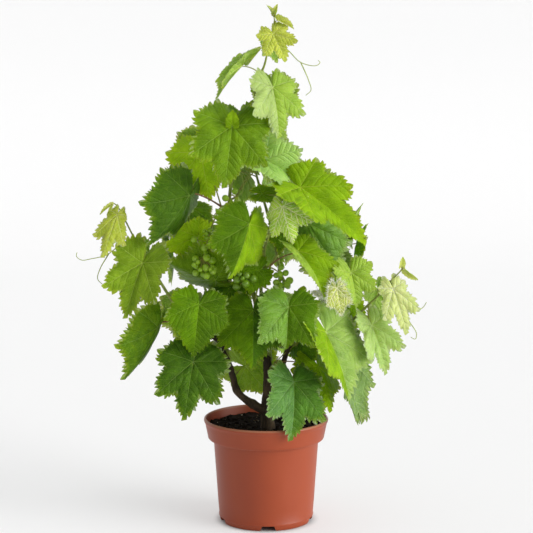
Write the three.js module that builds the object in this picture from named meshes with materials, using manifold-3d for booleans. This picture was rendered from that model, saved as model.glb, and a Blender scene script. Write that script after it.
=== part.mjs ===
// A young potted grapevine: terracotta-coloured pot, compost, woody trunk and arms, green shoots,
// and masses of leaves, tendrils and unripe grapes.
// Millimetres, +Z up, origin at the centre of the pot's flat underside, front of the plant towards -Y.
import * as THREE from "three";
import { mergeVertices } from "three/addons/utils/BufferGeometryUtils.js";
import Module from "manifold-3d";

const wasm = await Module();
wasm.setup();

// Driving sizes
const gap = 0.3; // clearance between one piece and the next
const clearOfLimb = 7; // from a stem's start to its first leaf
const potHeight = 167.5;
const rimRadius = 100;
const footRadius = 71.5;
const potSegments = 26;
const floorTop = 10.8;
const notchCount = 5;
const notchHeight = 8.6;
const soilTop = 154;
const woodSides = 7;
const shootSides = 5;
const twigSides = 3;
const stalkSteps = 2;
const stalkRoot = 1.2; // depth of a stalk's root past the middle of its stem
const bladeThickness = 0.014; // of the blade's length
const thinnestBlade = 0.6;
const seed = 20;

// Colours
const terracotta = 0xb5654a;
const compost = 0x2b1f18;
const bark = 0x4a3a30;
const greenWood = 0x6f7a2c;
const leafGreen = 0x5f8f1c;

const vec = (x, y, z) => new THREE.Vector3(x, y, z);
const rad = THREE.MathUtils.degToRad;

// A repeatable random number between 0 and 1
function seeded(start) {
  let state = start >>> 0;
  return () => {
    state = (state + 0x6d2b79f5) >>> 0;
    let t = Math.imul(state ^ (state >>> 15), 1 | state);
    t = (t + Math.imul(t ^ (t >>> 7), 61 | t)) ^ t;
    return ((t ^ (t >>> 14)) >>> 0) / 4294967296;
  };
}

// Closed geometry to solid: vertices merged, empty triangles left out, faces turned outward
function solidOf(geometry) {
  const bare = geometry.clone();
  bare.deleteAttribute("normal");
  bare.deleteAttribute("uv");
  const merged = mergeVertices(bare, 1e-4);
  const place = merged.attributes.position;
  const kept = [];
  let volume = 0;
  const [a, b, c] = [vec(0, 0, 0), vec(0, 0, 0), vec(0, 0, 0)];
  for (let i = 0; i < merged.index.count; i += 3) {
    const tri = [0, 1, 2].map((k) => merged.index.getX(i + k));
    if (tri[0] === tri[1] || tri[1] === tri[2] || tri[2] === tri[0]) continue;
    kept.push(...tri);
    a.fromBufferAttribute(place, tri[0]);
    b.fromBufferAttribute(place, tri[1]);
    c.fromBufferAttribute(place, tri[2]);
    volume += a.dot(b.cross(c));
  }
  if (volume < 0) {
    for (let i = 0; i < kept.length; i += 3) [kept[i], kept[i + 1]] = [kept[i + 1], kept[i]];
  }
  const vertProperties = Float32Array.from(place.array);
  return new wasm.Manifold(new wasm.Mesh({ numProp: 3, vertProperties, triVerts: Uint32Array.from(kept) }));
}

function geometryOf(solid) {
  const mesh = solid.getMesh();
  const geometry = new THREE.BufferGeometry();
  geometry.setAttribute("position", new THREE.BufferAttribute(mesh.vertProperties, 3));
  geometry.setIndex(new THREE.BufferAttribute(mesh.triVerts, 1));
  return geometry;
}

// A fused mass keeps its main body: loose scraps go, and sealed hollows are filled
function mainBody(solid) {
  return solid.decompose().reduce((best, piece) => (piece.volume() > best.volume() ? piece : best));
}

// A tapering round limb along a smooth curve through its points, closed at both ends
function limb(points, startRadius, endRadius, sides, steps, swell = () => 0) {
  const curve = new THREE.CatmullRomCurve3(points, false, "centripetal");
  const frames = curve.computeFrenetFrames(steps, false);
  const position = [];
  const index = [];
  for (let i = 0; i <= steps; i += 1) {
    const centre = curve.getPointAt(i / steps);
    const radius = THREE.MathUtils.lerp(startRadius, endRadius, i / steps) + swell(i / steps);
    for (let j = 0; j < sides; j += 1) {
      const angle = (j / sides) * 2 * Math.PI;
      const out = frames.normals[i].clone().multiplyScalar(Math.cos(angle) * radius);
      out.addScaledVector(frames.binormals[i], Math.sin(angle) * radius).add(centre);
      position.push(out.x, out.y, out.z);
    }
  }
  for (let i = 0; i < steps; i += 1) {
    for (let j = 0; j < sides; j += 1) {
      const [a, b] = [i * sides + j, i * sides + ((j + 1) % sides)];
      index.push(a, b, b + sides, a, b + sides, a + sides);
    }
  }
  const last = steps * sides;
  for (let j = 1; j < sides - 1; j += 1) {
    index.push(0, j + 1, j, last, last + j, last + j + 1);
  }
  const geometry = new THREE.BufferGeometry();
  geometry.setAttribute("position", new THREE.Float32BufferAttribute(position, 3));
  geometry.setIndex(index);
  return solidOf(geometry);
}

// Half outline of a vine leaf about the point where its stalk meets it: degrees from the tip, and reach
const halfOutline = [[0, 1.0], [23, 0.74], [46, 0.83], [74, 0.6], [102, 0.63], [147, 0.5], [169, 0.14]];
// A leaf's form: its side lobes' angle, the stretch of its tip and base lobes, the depth of its sinuses
const plainForm = { open: 46, tip: 1, base: 1, cut: 1 };
const budOutline = [[0, 1.0], [45, 0.62], [130, 0.4]];
const budLength = 30; // shorter blades are still folded buds

// The blade's own axes: side, along the midrib to the tip, and out of the upper face.
// turn: the tip's direction seen from the front, from straight down towards +X
// lean: the tip's tilt towards the front; roll: the face's turn about the midrib
function bladeAxes({ turn, lean, roll }) {
  const flat = vec(Math.sin(rad(turn)), 0, -Math.cos(rad(turn)));
  const front = vec(0, -1, 0);
  const [level, tilt] = [Math.cos(rad(lean)), Math.sin(rad(lean))];
  const along = flat.clone().multiplyScalar(level).addScaledVector(front, tilt);
  const facing = front.clone().multiplyScalar(level).addScaledVector(flat, -tilt);
  const across = along.clone().cross(facing);
  const up = facing.multiplyScalar(Math.cos(rad(roll))).addScaledVector(across, Math.sin(rad(roll)));
  return { side: along.clone().cross(up), along, up };
}

// A point of the folded, arching blade: fold lifts both halves, droop bends it along the midrib
function bladePoint(leaf, axes, s, t, height) {
  const half = rad(leaf.droop) / 2;
  const bend = rad(leaf.droop || 0.01) / leaf.length;
  const angle = bend * t - half;
  const lift = Math.abs(s) * Math.sin(rad(leaf.fold)) + height;
  const reach = (Math.sin(angle) + Math.sin(half)) / bend + Math.sin(angle) * lift;
  const rise = (Math.cos(angle) - Math.cos(half)) / bend + Math.cos(angle) * lift;
  return leaf.heart
    .clone()
    .addScaledVector(axes.side, s * Math.cos(rad(leaf.fold)))
    .addScaledVector(axes.along, reach)
    .addScaledVector(axes.up, rise);
}

// Where a point of the plain outline goes on this leaf: its angle, and the stretch of its reach
function lobed({ open, tip, base, cut }, degrees) {
  const inner = Math.min(degrees, 46) / 46;
  const beyond = Math.max(0, degrees - 46) / 134;
  const angle = inner * open + beyond * (180 - open);
  const stretch = degrees < 46 ? tip + (1 - tip) * inner : 1 + (base - 1) * Math.min(1, beyond * 2.4);
  const sinus = Math.max(0, 1 - Math.abs(degrees - 23) / 16, 1 - Math.abs(degrees - 74) / 20);
  return [angle, stretch * (1 - (1 - cut) * sinus)];
}

function blade(leaf, grow) {
  const axes = bladeAxes(leaf);
  const thick = Math.max(thinnestBlade, bladeThickness * leaf.length) / 2 + grow;
  const outline = [];
  for (const [degrees, reach] of leaf.length < budLength ? budOutline : halfOutline) {
    const [angle, stretch] = lobed(leaf, degrees);
    const r = reach * stretch * leaf.length + grow;
    outline.push([r * Math.sin(rad(angle)) * leaf.wide, r * Math.cos(rad(angle))]);
  }
  const mirrored = outline.slice(1).reverse().map(([s, t]) => [-s, t]);
  const ring = [...outline, [0, -0.02 * leaf.length], ...mirrored];
  const centre = [0, 0.3 * leaf.length];
  const position = [];
  for (const height of [thick, -thick]) {
    for (const [s, t] of [centre, ...ring]) {
      position.push(...bladePoint(leaf, axes, s, t, height).toArray());
    }
  }
  const index = [];
  const count = ring.length;
  for (let i = 0; i < count; i += 1) {
    const [a, b] = [1 + i, 1 + ((i + 1) % count)];
    const [c, d] = [a + count + 1, b + count + 1];
    index.push(0, a, b, count + 1, d, c, a, c, d, a, d, b);
  }
  const geometry = new THREE.BufferGeometry();
  geometry.setAttribute("position", new THREE.Float32BufferAttribute(position, 3));
  geometry.setIndex(index);
  return solidOf(geometry);
}

// The stalk starts inside its stem, comes up behind the blade and ends sunk in the blade
function stalk(leaf, grow) {
  const axes = bladeAxes(leaf);
  const radius = Math.max(0.6, leaf.length / 72);
  const end = bladePoint(leaf, axes, 0, 0.05 * leaf.length, 0.003 * leaf.length);
  const span = end.distanceTo(leaf.node);
  const behind = leaf.heart.clone().addScaledVector(axes.up, -0.32 * span);
  behind.addScaledVector(axes.along, -0.12 * span);
  const out = leaf.node.clone().lerp(behind, 0.45).add(vec(0, 0, 0.1 * span));
  const root = leaf.node.clone().addScaledVector(out.clone().sub(leaf.node).normalize(), -stalkRoot);
  const route = new THREE.CubicBezierCurve3(root, out, behind, end).getPoints(stalkSteps);
  return limb(route, radius + grow, radius * 0.8 + grow, twigSides, stalkSteps);
}

const leaf = (x, y, z, length, wide, turn, lean, roll, fold, droop, form = {}) => ({
  heart: vec(x, y, z), length, wide, turn, lean, roll, fold, droop, ...plainForm, ...form,
});

function berry([x, y, z, radius], stem, grow) {
  const ball = new THREE.IcosahedronGeometry(radius + grow, 0).translate(x, y, z);
  return [solidOf(ball), limb([stem, vec(x, y, z)], 0.7 + grow, 0.7 + grow, twigSides, 1)];
}

// Green limbs and woody limbs
const limbs = {
  trunk: {
    route: [vec(4, -22, soilTop - 12), vec(3, -22, soilTop + 6), vec(1, -21, 195), vec(3, -18, 235),
      vec(1, -16, 268)],
    radii: [8.8, 6.8], colour: bark, sides: woodSides, steps: 12,
    flare: (t) => 5.5 * Math.exp(-t * 9) + 0.6 * Math.sin(t * 21),
  },
  left_arm: {
    route: [vec(1, -21, 181), vec(-18, -20, 191), vec(-45, -19, 212), vec(-53, -18, 237),
      vec(-60, -17, 260), vec(-68, -15, 276), vec(-72, -13, 290), vec(-88, -11, 302)],
    radii: [6.6, 3.4], colour: bark, sides: shootSides, steps: 14,
    flare: (t) => 0.5 * Math.sin(t * 26),
  },
  right_cane: {
    route: [vec(2, -17, 238), vec(24, -20, 254), vec(36, -20, 286), vec(60, -17, 318), vec(83, -15, 343),
      vec(96, -15, 363), vec(129, -13, 385), vec(140, -12, 399)],
    radii: [4.4, 2.1], colour: bark, sides: shootSides, steps: 14,
    flare: (t) => 0.3 * Math.sin(t * 33),
  },
  leader: {
    route: [vec(-4, -15, 264), vec(-11, -12, 320), vec(-20, -4, 368), vec(-36, 5, 424), vec(-54, 3, 480),
      vec(-58, 0, 511), vec(-54, 0, 551), vec(-45, 8, 592), vec(-34, 9, 628), vec(-19, 5, 667),
      vec(-16.5, 0, 712)],
    radii: [3.6, 2.0], colour: greenWood, sides: shootSides, steps: 17,
    flare: (t) => 0.2 * Math.sin(t * 40),
  },
  centre_shoot: {
    route: [vec(6, -14, 264), vec(-3, -8, 330), vec(-8, -5, 380), vec(-2, -6, 410), vec(-3, -12, 436),
      vec(10, -15, 482), vec(17, -18, 520)],
    radii: [3.3, 2.0], colour: greenWood, sides: shootSides, steps: 12,
    flare: (t) => 0.2 * Math.sin(t * 30),
  },
  left_shoot: {
    route: [vec(-68, -14, 281), vec(-90, -13, 283), vec(-122, -12, 319), vec(-148, -12, 357),
      vec(-160, -12, 376)],
    radii: [3.1, 2.3], colour: greenWood, sides: shootSides, steps: 8,
    flare: () => 0,
  },
  right_shoot: {
    route: [vec(38, -19, 290), vec(70, -11, 290), vec(101, -9, 303), vec(133, -11, 324),
      vec(158, -15, 348)],
    radii: [2.9, 2.0], colour: greenWood, sides: shootSides, steps: 8,
    flare: () => 0,
  },
  back_shoot: {
    route: [vec(2, -12, 258), vec(12, 22, 310), vec(22, 46, 390), vec(8, 56, 470), vec(-12, 56, 540)],
    radii: [3.4, 2.0], colour: greenWood, sides: shootSides, steps: 9,
    flare: () => 0,
  },
  back_left_shoot: {
    route: [vec(-56, -17, 250), vec(-68, 14, 290), vec(-92, 40, 350), vec(-112, 50, 410)],
    radii: [2.8, 1.9], colour: greenWood, sides: shootSides, steps: 8,
    flare: () => 0,
  },
  back_right_shoot: {
    route: [vec(30, -20, 272), vec(54, 12, 296), vec(88, 38, 346), vec(106, 46, 400)],
    radii: [2.8, 1.9], colour: greenWood, sides: shootSides, steps: 8,
    flare: () => 0,
  },
};

// Masses: one stem from its limb, then leaves, tendrils and berries on it.
// A leaf: x, y, z of its heart, blade length, width factor, turn, lean, roll, fold, droop, form.
const masses = {
  leaves_top: {
    stem: [vec(-16.5, 0, 712), vec(-6, 0, 721), vec(3, 0, 752), vec(9, -4, 779), vec(13, -5, 797),
      vec(11.5, -5, 808)],
    radii: [1.9, 0.9],
    leaves: [
      leaf(10, -5, 807, 17, 0.7, -150, 0, 60, 55, 10),
      leaf(13, -6, 808, 15, 0.8, 162, 10, -20, 45, 10),
      leaf(19, -6, 798, 27, 0.8, 61, 5, -30, 58, 10),
      leaf(11, -15, 777, 48, 0.92, 25, 18, -8, 12, 20, { base: 0.85, cut: 0.78 }),
      leaf(-36, 0, 730, 73, 0.95, -39, 5, 76, 14, 12),
      leaf(10, -25, 695, 79, 0.88, 8, 15, -28, 15, 20, { base: 0.85, cut: 0.82 }),
      leaf(14, 26, 692, 66, 0.85, 4, -14, 180, -10, 20),
      leaf(10, 20, 770, 38, 0.8, 10, -16, 180, -12, 20),
    ],
    tendrils: [
      [vec(8, -5, 774), vec(34, -10, 752), vec(54, -12, 733), vec(78, -12, 728), vec(84, -12, 733),
        vec(81, -12, 736)],
      [vec(54, -12, 733), vec(66, -12, 706), vec(70, -12, 690), vec(62, -12, 682)],
      [vec(8, -5, 774), vec(-6, -6, 757), vec(-20, -8, 740), vec(-29, -8, 728)],
    ],
    berries: [[-21, -4, 698, 2.6], [-22, -5, 689, 2.6]],
    peduncle: [vec(-15, 0, 713), vec(-18, -3, 704), vec(-21, -5, 686)],
  },
  leaves_upper_front: {
    stem: [vec(-34, 9, 628), vec(-40, -8, 620)],
    radii: [1.8, 1.5],
    leaves: [
      leaf(-52, -45, 635, 95, 0.97, -7, 18, -3, 10, 22, { cut: 0.92 }),
      leaf(-52, -52, 637, 22, 0.7, 178, 10, 0, 40, 20),
    ],
  },
  leaves_upper_back: {
    stem: [vec(-46, 7, 590), vec(-54, 26, 596)],
    radii: [1.8, 1.4],
    leaves: [
      leaf(-40, 44, 646, 92, 0.95, 8, -22, 180, -12, 25),
      leaf(-104, 52, 606, 70, 0.85, -16, -20, 192, -10, 25),
    ],
  },
  leaves_upper_left: {
    stem: [vec(-58, 0, 508), vec(-71, 1, 507)],
    radii: [2.6, 2.0],
    leaves: [
      leaf(-104, 18, 593, 77, 1.08, 11, 6, 0, -8, 20),
      leaf(-120, -25, 527, 99, 0.87, -37, 16, -38, -30, 25),
      leaf(-107, 14, 457, 60, 0.78, -73, 8, 0, 8, 20),
    ],
    peduncle: [vec(-70, 0, 506), vec(-76, -7, 499), vec(-84, -13, 481), vec(-92, -18, 455),
      vec(-99, -20, 428)],
    berries: [
      [-113, -22, 457, 5.2], [-97, -27, 444, 5.8], [-93, -29, 429, 6.1], [-85, -24, 424, 5.9],
      [-95, -27, 413, 6.0], [-111, -23, 427, 5.3], [-109, -22, 415, 4.9], [-111, -20, 404, 5.2],
      [-99, -22, 402, 4.8], [-93, -14, 459, 5.0], [-88, -18, 471, 4.4],
    ],
  },
  leaves_upper_right: {
    stem: [vec(-56, 0, 518), vec(-48, -4, 522)],
    radii: [1.9, 1.6],
    leaves: [
      leaf(-3, -5, 582, 70, 1.0, 59, 5, -33, 33, 20),
      leaf(8, 44, 590, 60, 0.85, 34, -16, 172, -14, 20),
    ],
    tendrils: [[vec(-48, -4, 522), vec(-38, -6, 530), vec(-36, -6, 548), vec(-41, -4, 560)]],
    berries: [[-49, -7, 532, 5.2], [-64, -8, 521, 5.4], [-63, -6, 509, 3.6]],
    peduncle: [vec(-48, -4, 522), vec(-54, -7, 526), vec(-60, -8, 516)],
  },
  leaves_centre_front: {
    stem: [vec(-45, 4, 452), vec(-34, -14, 462)],
    radii: [1.8, 1.5],
    leaves: [leaf(-26, -58, 485, 88, 0.88, -18, 14, -24, -24, 22)],
  },
  leaves_centre: {
    stem: [vec(17, -18, 520), vec(20, -20, 530)],
    radii: [1.9, 1.5],
    leaves: [
      leaf(53, -30, 540, 90, 1.03, 52, 14, -39, 25, 15, { open: 40, tip: 1.5, base: 0.9, cut: 0.85 }),
      leaf(26, -54, 512, 60, 1.0, 15, 22, 20, -22, 20, { cut: 0.85 }),
      leaf(-7, -10, 528, 42, 0.6, 80, 0, -40, 12, 15),
      leaf(26, -8, 482, 50, 0.65, -6, 14, 0, -10, 20),
      leaf(66, 36, 540, 76, 0.85, 30, -20, 176, -12, 25),
    ],
  },
  leaves_right_middle: {
    stem: [vec(-2, -6, 410), vec(6, -9, 413)],
    radii: [2.0, 1.7],
    leaves: [
      leaf(50, -32, 440, 84, 0.8, 33, 18, -50, 33, 30, { base: 0.8 }),
      leaf(67, 6, 480, 104, 0.6, 33, 10, 10, -14, 20),
    ],
    peduncle: [vec(5, -9, 412), vec(14, -11, 408), vec(26, -14, 398), vec(32, -16, 384)],
    berries: [
      [24, -14, 412, 4.9], [31, -15, 403, 5.0], [37, -16, 391, 6.0], [16, -16, 388, 5.2],
      [33, -19, 385, 6.0], [16, -12, 399, 4.8], [24, -14, 378, 5.2],
    ],
  },
  leaves_centre_low: {
    stem: [vec(-8, -5, 378), vec(-12, -18, 384)],
    radii: [2.0, 1.6],
    leaves: [
      leaf(-20, -46, 348, 91, 0.97, 0, 22, 0, -12, 30),
      leaf(35, -76, 359, 88, 0.95, -4, 20, 0, 16, 30, { open: 35, tip: 0.72, base: 0.85 }),
      leaf(-12, -24, 408, 46, 0.9, -64, 10, 0, 8, 15),
    ],
    peduncle: [vec(-12, -18, 385), vec(-24, -30, 396), vec(-34, -34, 392)],
    berries: [
      [-45, -36, 395, 6.4], [-30, -40, 402, 5.8], [-32, -42, 390, 6.4], [-20, -40, 397, 6.4],
      [-46, -32, 384, 6.2],
    ],
  },
  leaves_left_middle: {
    stem: [vec(-27, 0, 392), vec(-44, -6, 380)],
    radii: [2.0, 1.7],
    leaves: [
      leaf(-80, -10, 391, 86, 0.85, -110, 4, -34, -26, 15),
      leaf(-58, 5, 374, 88, 0.62, -15, 2, 10, -14, 15),
    ],
  },
  leaves_left_spray: {
    stem: [vec(-160, -12, 376), vec(-191, -12, 428), vec(-208, -12, 458), vec(-225, -14, 493),
      vec(-234, -18, 510), vec(-240, -20, 514), vec(-245, -22, 511)],
    radii: [2.2, 0.8],
    leaves: [
      leaf(-194, -30, 421, 89, 0.82, -18, 10, 13, 20, 20, { cut: 0.86 }),
      leaf(-233, -28, 497, 70, 0.58, -19, 12, 5, -15, 15, { base: 0.7, cut: 0.8 }),
      leaf(-243, -23, 511, 22, 0.5, -52, 10, 40, 50, 10),
      leaf(-243, -20, 511, 16, 0.5, -24, 0, -30, 50, 10),
      leaf(-188, 22, 432, 60, 0.85, -22, -14, 180, -10, 20),
    ],
    tendrils: [
      [vec(-208, -12, 458), vec(-232, -16, 446), vec(-252, -18, 432), vec(-276, -18, 426),
        vec(-291, -18, 424), vec(-299, -18, 430), vec(-298, -18, 436)],
      [vec(-248, -18, 434), vec(-262, -18, 410), vec(-266, -18, 394), vec(-256, -18, 383)],
    ],
  },
  leaves_left_low: {
    stem: [vec(-112, -12, 307), vec(-118, -22, 318)],
    radii: [2.0, 1.6],
    leaves: [
      leaf(-104, -60, 360, 68, 0.98, -6, 18, 0, 10, 30, { open: 60, tip: 1.2 }),
      leaf(-171, -30, 319, 99, 0.65, -31, 8, -46, -33, 20, { base: 0.9 }),
      leaf(-128, 24, 350, 72, 0.9, -12, -16, 180, -12, 25),
    ],
  },
  leaves_left_bottom: {
    stem: [vec(-59, -17, 258), vec(-68, -28, 262)],
    radii: [1.9, 1.6],
    leaves: [leaf(-113, -70, 271, 90, 0.95, -9, 22, 2, 8, 25, { open: 40, cut: 0.84 })],
  },
  leaves_low_back: {
    stem: [vec(-53, -18, 236), vec(-46, -2, 240)],
    radii: [1.8, 1.4],
    leaves: [
      leaf(-33, 12, 248, 70, 0.88, 82, 0, 0, 10, 15),
      leaf(-92, 44, 272, 76, 0.85, -14, -20, 186, -10, 25),
    ],
  },
  leaves_low_right: {
    stem: [vec(3, -18, 246), vec(14, -30, 262)],
    radii: [2.0, 1.7],
    leaves: [
      leaf(43, -74, 240, 90, 0.92, -2, 22, -22, 14, 25, { open: 42, base: 0.8, cut: 0.86 }),
      leaf(82, -38, 257, 72, 0.85, 17, 10, -35, -20, 20),
      leaf(58, -22, 300, 52, 0.85, -8, 10, 40, -15, 20),
    ],
  },
  leaves_right_low: {
    stem: [vec(97, -9, 301), vec(84, -24, 311)],
    radii: [1.9, 1.6],
    leaves: [
      leaf(93, -54, 315, 108, 0.82, 21, 14, -51, 21, 20),
      leaf(131, -20, 284, 118, 0.66, 6, 2, 113, -12, 15),
    ],
  },
  leaves_right_upper: {
    stem: [vec(140, -12, 399), vec(141, -14, 412)],
    radii: [1.9, 1.6],
    leaves: [
      leaf(134, -24, 405, 54, 1.0, 10, 10, -22, 22, 20, { cut: 0.85 }),
      leaf(124, 8, 366, 74, 0.6, 12, 6, 0, -8, 20),
      leaf(110, -62, 386, 44, 0.8, 9, 12, 0, 10, 20),
      leaf(94, -42, 368, 24, 0.7, -112, 0, 30, 40, 10),
    ],
  },
  leaves_right_spray: {
    stem: [vec(158, -15, 348), vec(184, -17, 374), vec(197, -20, 391), vec(213, -20, 408),
      vec(216, -20, 414)],
    radii: [1.9, 0.9],
    leaves: [
      leaf(200, -30, 380, 73, 0.62, 17, 18, -8, 10, 22, { base: 0.7, cut: 0.78 }),
      leaf(167, -24, 321, 79, 0.78, 18, 12, -30, 30, 20, { base: 0.85, cut: 0.75 }),
      leaf(220, -20, 407, 24, 0.55, 54, 0, 30, 40, 15),
      leaf(213, -20, 414, 15, 0.9, 170, 0, 20, 40, 10),
      leaf(180, 20, 372, 50, 0.8, 30, -14, 182, -10, 20),
    ],
    tendrils: [
      [vec(197, -20, 391), vec(208, -24, 360), vec(230, -26, 342), vec(248, -26, 350), vec(253, -26, 358)],
      [vec(208, -24, 360), vec(226, -26, 328), vec(238, -26, 308), vec(236, -26, 299), vec(229, -26, 302)],
    ],
  },
};

// Masses at the back grow by rule: leaves stand alternately along the stem, face outward and hang
// like shingles
const backMasses = {
  leaves_back_top: {
    stem: [vec(-12, 56, 540), vec(-16, 78, 556), vec(-18, 90, 584), vec(-20, 96, 622)],
    count: 4, size: 72, facing: 4, space: [[-125, -2, 440], [62, 215, 715]],
  },
  leaves_back_middle: {
    stem: [vec(16, 52, 440), vec(18, 76, 446), vec(16, 98, 470), vec(14, 108, 510)],
    count: 4, size: 82, facing: 8, space: [[-90, 10, 310], [140, 215, 600]],
  },
  leaves_back_left: {
    stem: [vec(-112, 50, 410), vec(-120, 60, 436), vec(-124, 66, 470), vec(-128, 66, 500)],
    count: 4, size: 74, facing: -32, space: [[-215, -6, 290], [-40, 190, 575]],
  },
  leaves_back_right: {
    stem: [vec(106, 46, 400), vec(112, 56, 424), vec(112, 62, 452), vec(108, 64, 480)],
    count: 4, size: 74, facing: 34, space: [[30, -6, 250], [205, 190, 550]],
  },
  leaves_back_low: {
    stem: [vec(12, 22, 310), vec(6, 46, 302), vec(-2, 68, 308), vec(-8, 82, 336)],
    count: 4, size: 82, facing: -4, space: [[-120, 10, 172], [110, 200, 470]],
  },
};

// The n-th leaf of a back mass, on the left or right of its stem in turn; facing is in degrees from
// +Y towards +X
function ruleLeaf(mass, curve, n, random) {
  const start = Math.min(0.5, clearOfLimb / curve.getLength());
  const node = curve.getPointAt(Math.min(1, start + ((1 - start) * (n + 0.5)) / mass.count));
  const sideways = n % 2 === 0 ? -1 : 1;
  const azimuth = mass.facing + sideways * (34 + 18 * random());
  const outward = vec(Math.sin(rad(azimuth)), Math.cos(rad(azimuth)), 0);
  const length = mass.size * (0.88 + 0.24 * random()) * (1 - 0.16 * (n / mass.count));
  const heart = node.clone().addScaledVector(outward, 0.52 * length);
  heart.z += 0.12 * length;
  return {
    heart, length, wide: 0.8 + 0.12 * random(), turn: sideways * 10 * random(), lean: -28 - 10 * random(),
    roll: 180 - azimuth, fold: -8 - 8 * random(), droop: 20 + 15 * random(), ...plainForm, node,
  };
}

function insideSpace(solid, [low, high]) {
  const box = solid.boundingBox();
  return [0, 1, 2].every((k) => box.min[k] > low[k] && box.max[k] < high[k]);
}

// The nearest point of the stem that stands clear of the limb carries the leaf
function withNode(entry, stem) {
  if (entry.node) return entry;
  const curve = new THREE.CatmullRomCurve3(stem, false, "centripetal");
  const aim = entry.heart.clone().add(vec(0, 0, -0.12 * entry.length));
  const length = curve.getLength();
  const first = Math.min(0.9, clearOfLimb / length);
  let best = curve.getPointAt(1);
  for (let i = 0; i <= 24; i += 1) {
    const point = curve.getPointAt(Math.min(1, first + ((1 - first) * i) / 24));
    if (point.distanceTo(aim) < best.distanceTo(aim)) best = point;
  }
  return { ...entry, node: best };
}

function massSolid(mass, grow) {
  const steps = 2 * mass.stem.length - 1;
  const parts = [limb(mass.stem, mass.radii[0] + grow, mass.radii[1] + grow, twigSides, steps)];
  for (const entry of mass.leaves) {
    const full = withNode(entry, mass.stem);
    parts.push(blade(full, grow), stalk(full, grow));
  }
  for (const route of mass.tendrils ?? []) {
    parts.push(limb(route, 0.85 + grow, 0.45 + grow, twigSides, 2 * (route.length - 1)));
  }
  if (mass.berries) {
    const rachis = new THREE.CatmullRomCurve3(mass.peduncle, false, "centripetal");
    parts.push(limb(mass.peduncle, 1.3 + grow, 0.8 + grow, twigSides, 6));
    const knots = rachis.getPoints(12);
    for (const fruit of mass.berries) {
      const centre = vec(...fruit.slice(0, 3));
      const near = knots.reduce((best, p) => (p.distanceTo(centre) < best.distanceTo(centre) ? p : best));
      parts.push(...berry(fruit, near, grow));
    }
  }
  return wasm.Manifold.union(parts);
}

function boxesMeet(a, b) {
  const [p, q] = [a.boundingBox(), b.boundingBox()];
  return [0, 1, 2].every((k) => p.min[k] < q.max[k] && q.min[k] < p.max[k]);
}

const part = new THREE.Group();
const placed = []; // every piece made so far, grown by the clearance, to cut the next ones clear

function addPiece(name, solid, grown, colour, roughness) {
  let clear = solid;
  for (const other of placed) if (boxesMeet(clear, other)) clear = clear.subtract(other);
  const mesh = new THREE.Mesh(
    geometryOf(mainBody(clear)),
    new THREE.MeshStandardMaterial({ color: colour, roughness, metalness: 0 }),
  );
  mesh.name = name;
  part.add(mesh);
  placed.push(grown);
}

// Pot: a turned wall with a rolled lip, a collar above the body, and a floor with drainage channels
function potSolid() {
  const profile = [
    [0, 0], [footRadius, 0], [74.4, 2.4], [75.2, 8], [84.5, 133], [91.8, 134.2], [93.7, 137.2],
    [98.5, 161], [rimRadius, 165], [98.2, potHeight], [96.4, 165], [91.9, 139], [82.6, 135.4],
    [73, floorTop], [0, floorTop],
  ].map(([r, z]) => new THREE.Vector2(r, z));
  let pot = solidOf(new THREE.LatheGeometry(profile, potSegments).rotateX(Math.PI / 2));
  for (let i = 0; i < notchCount; i += 1) {
    const around = rad(-87.5 + (360 / notchCount) * i);
    const shape = new THREE.Shape([[-13.4, -1], [13.4, -1], [9.5, notchHeight], [-9.5, notchHeight]]
      .map(([x, y]) => new THREE.Vector2(x, y)));
    const channel = new THREE.ExtrudeGeometry(shape, { depth: 46, bevelEnabled: false });
    channel.rotateX(Math.PI / 2).translate(0, 84, 0).rotateZ(around - Math.PI / 2);
    const drain = new THREE.CylinderGeometry(4.5, 4.5, 8, 8).rotateX(Math.PI / 2);
    drain.translate(0, 54, floorTop).rotateZ(around - Math.PI / 2);
    pot = pot.subtract(solidOf(channel)).subtract(solidOf(drain));
  }
  return pot;
}

// Compost: fills the pot to a low, lumpy top that is level where the trunk stands
function soilSolid() {
  const profile = [
    [0, floorTop + 0.4], [72.5, floorTop + 0.4], [82.1, 135.6], [91.4, 139.4], [93.6, 151],
    [80, 154.2], [38, soilTop], [0, soilTop],
  ].map(([r, z]) => new THREE.Vector2(r, z));
  const geometry = new THREE.LatheGeometry(profile, potSegments).rotateX(Math.PI / 2);
  const place = geometry.attributes.position;
  for (let i = 0; i < place.count; i += 1) {
    const [x, y, z] = [place.getX(i), place.getY(i), place.getZ(i)];
    const radius = Math.hypot(x, y);
    if (z > 152.5 && radius > 45) place.setZ(i, z + 1.2 * Math.sin(x * 0.21 + 1) * Math.cos(y * 0.17));
  }
  return solidOf(geometry);
}

addPiece("pot", potSolid(), potSolid(), terracotta, 0.6);
placed.pop(); // the compost's own profile keeps it clear of the pot
addPiece("soil", soilSolid(), soilSolid(), compost, 1);
placed.pop(); // the trunk stands just above the compost

const ground = solidOf(new THREE.BoxGeometry(120, 120, 60).translate(0, -20, soilTop + gap - 30));
placed.push(ground); // the trunk ends in a flat cut at the compost

for (const [name, one] of Object.entries(limbs)) {
  const { route, radii, sides, steps, flare, colour } = one;
  const make = (grow) => limb(route, radii[0] + grow, radii[1] + grow, sides, steps, flare);
  addPiece(name, make(0), make(gap), colour, 0.85);
}

for (const [name, mass] of Object.entries(masses)) {
  addPiece(name, massSolid(mass, 0), massSolid(mass, gap), leafGreen, 0.5);
}

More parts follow.
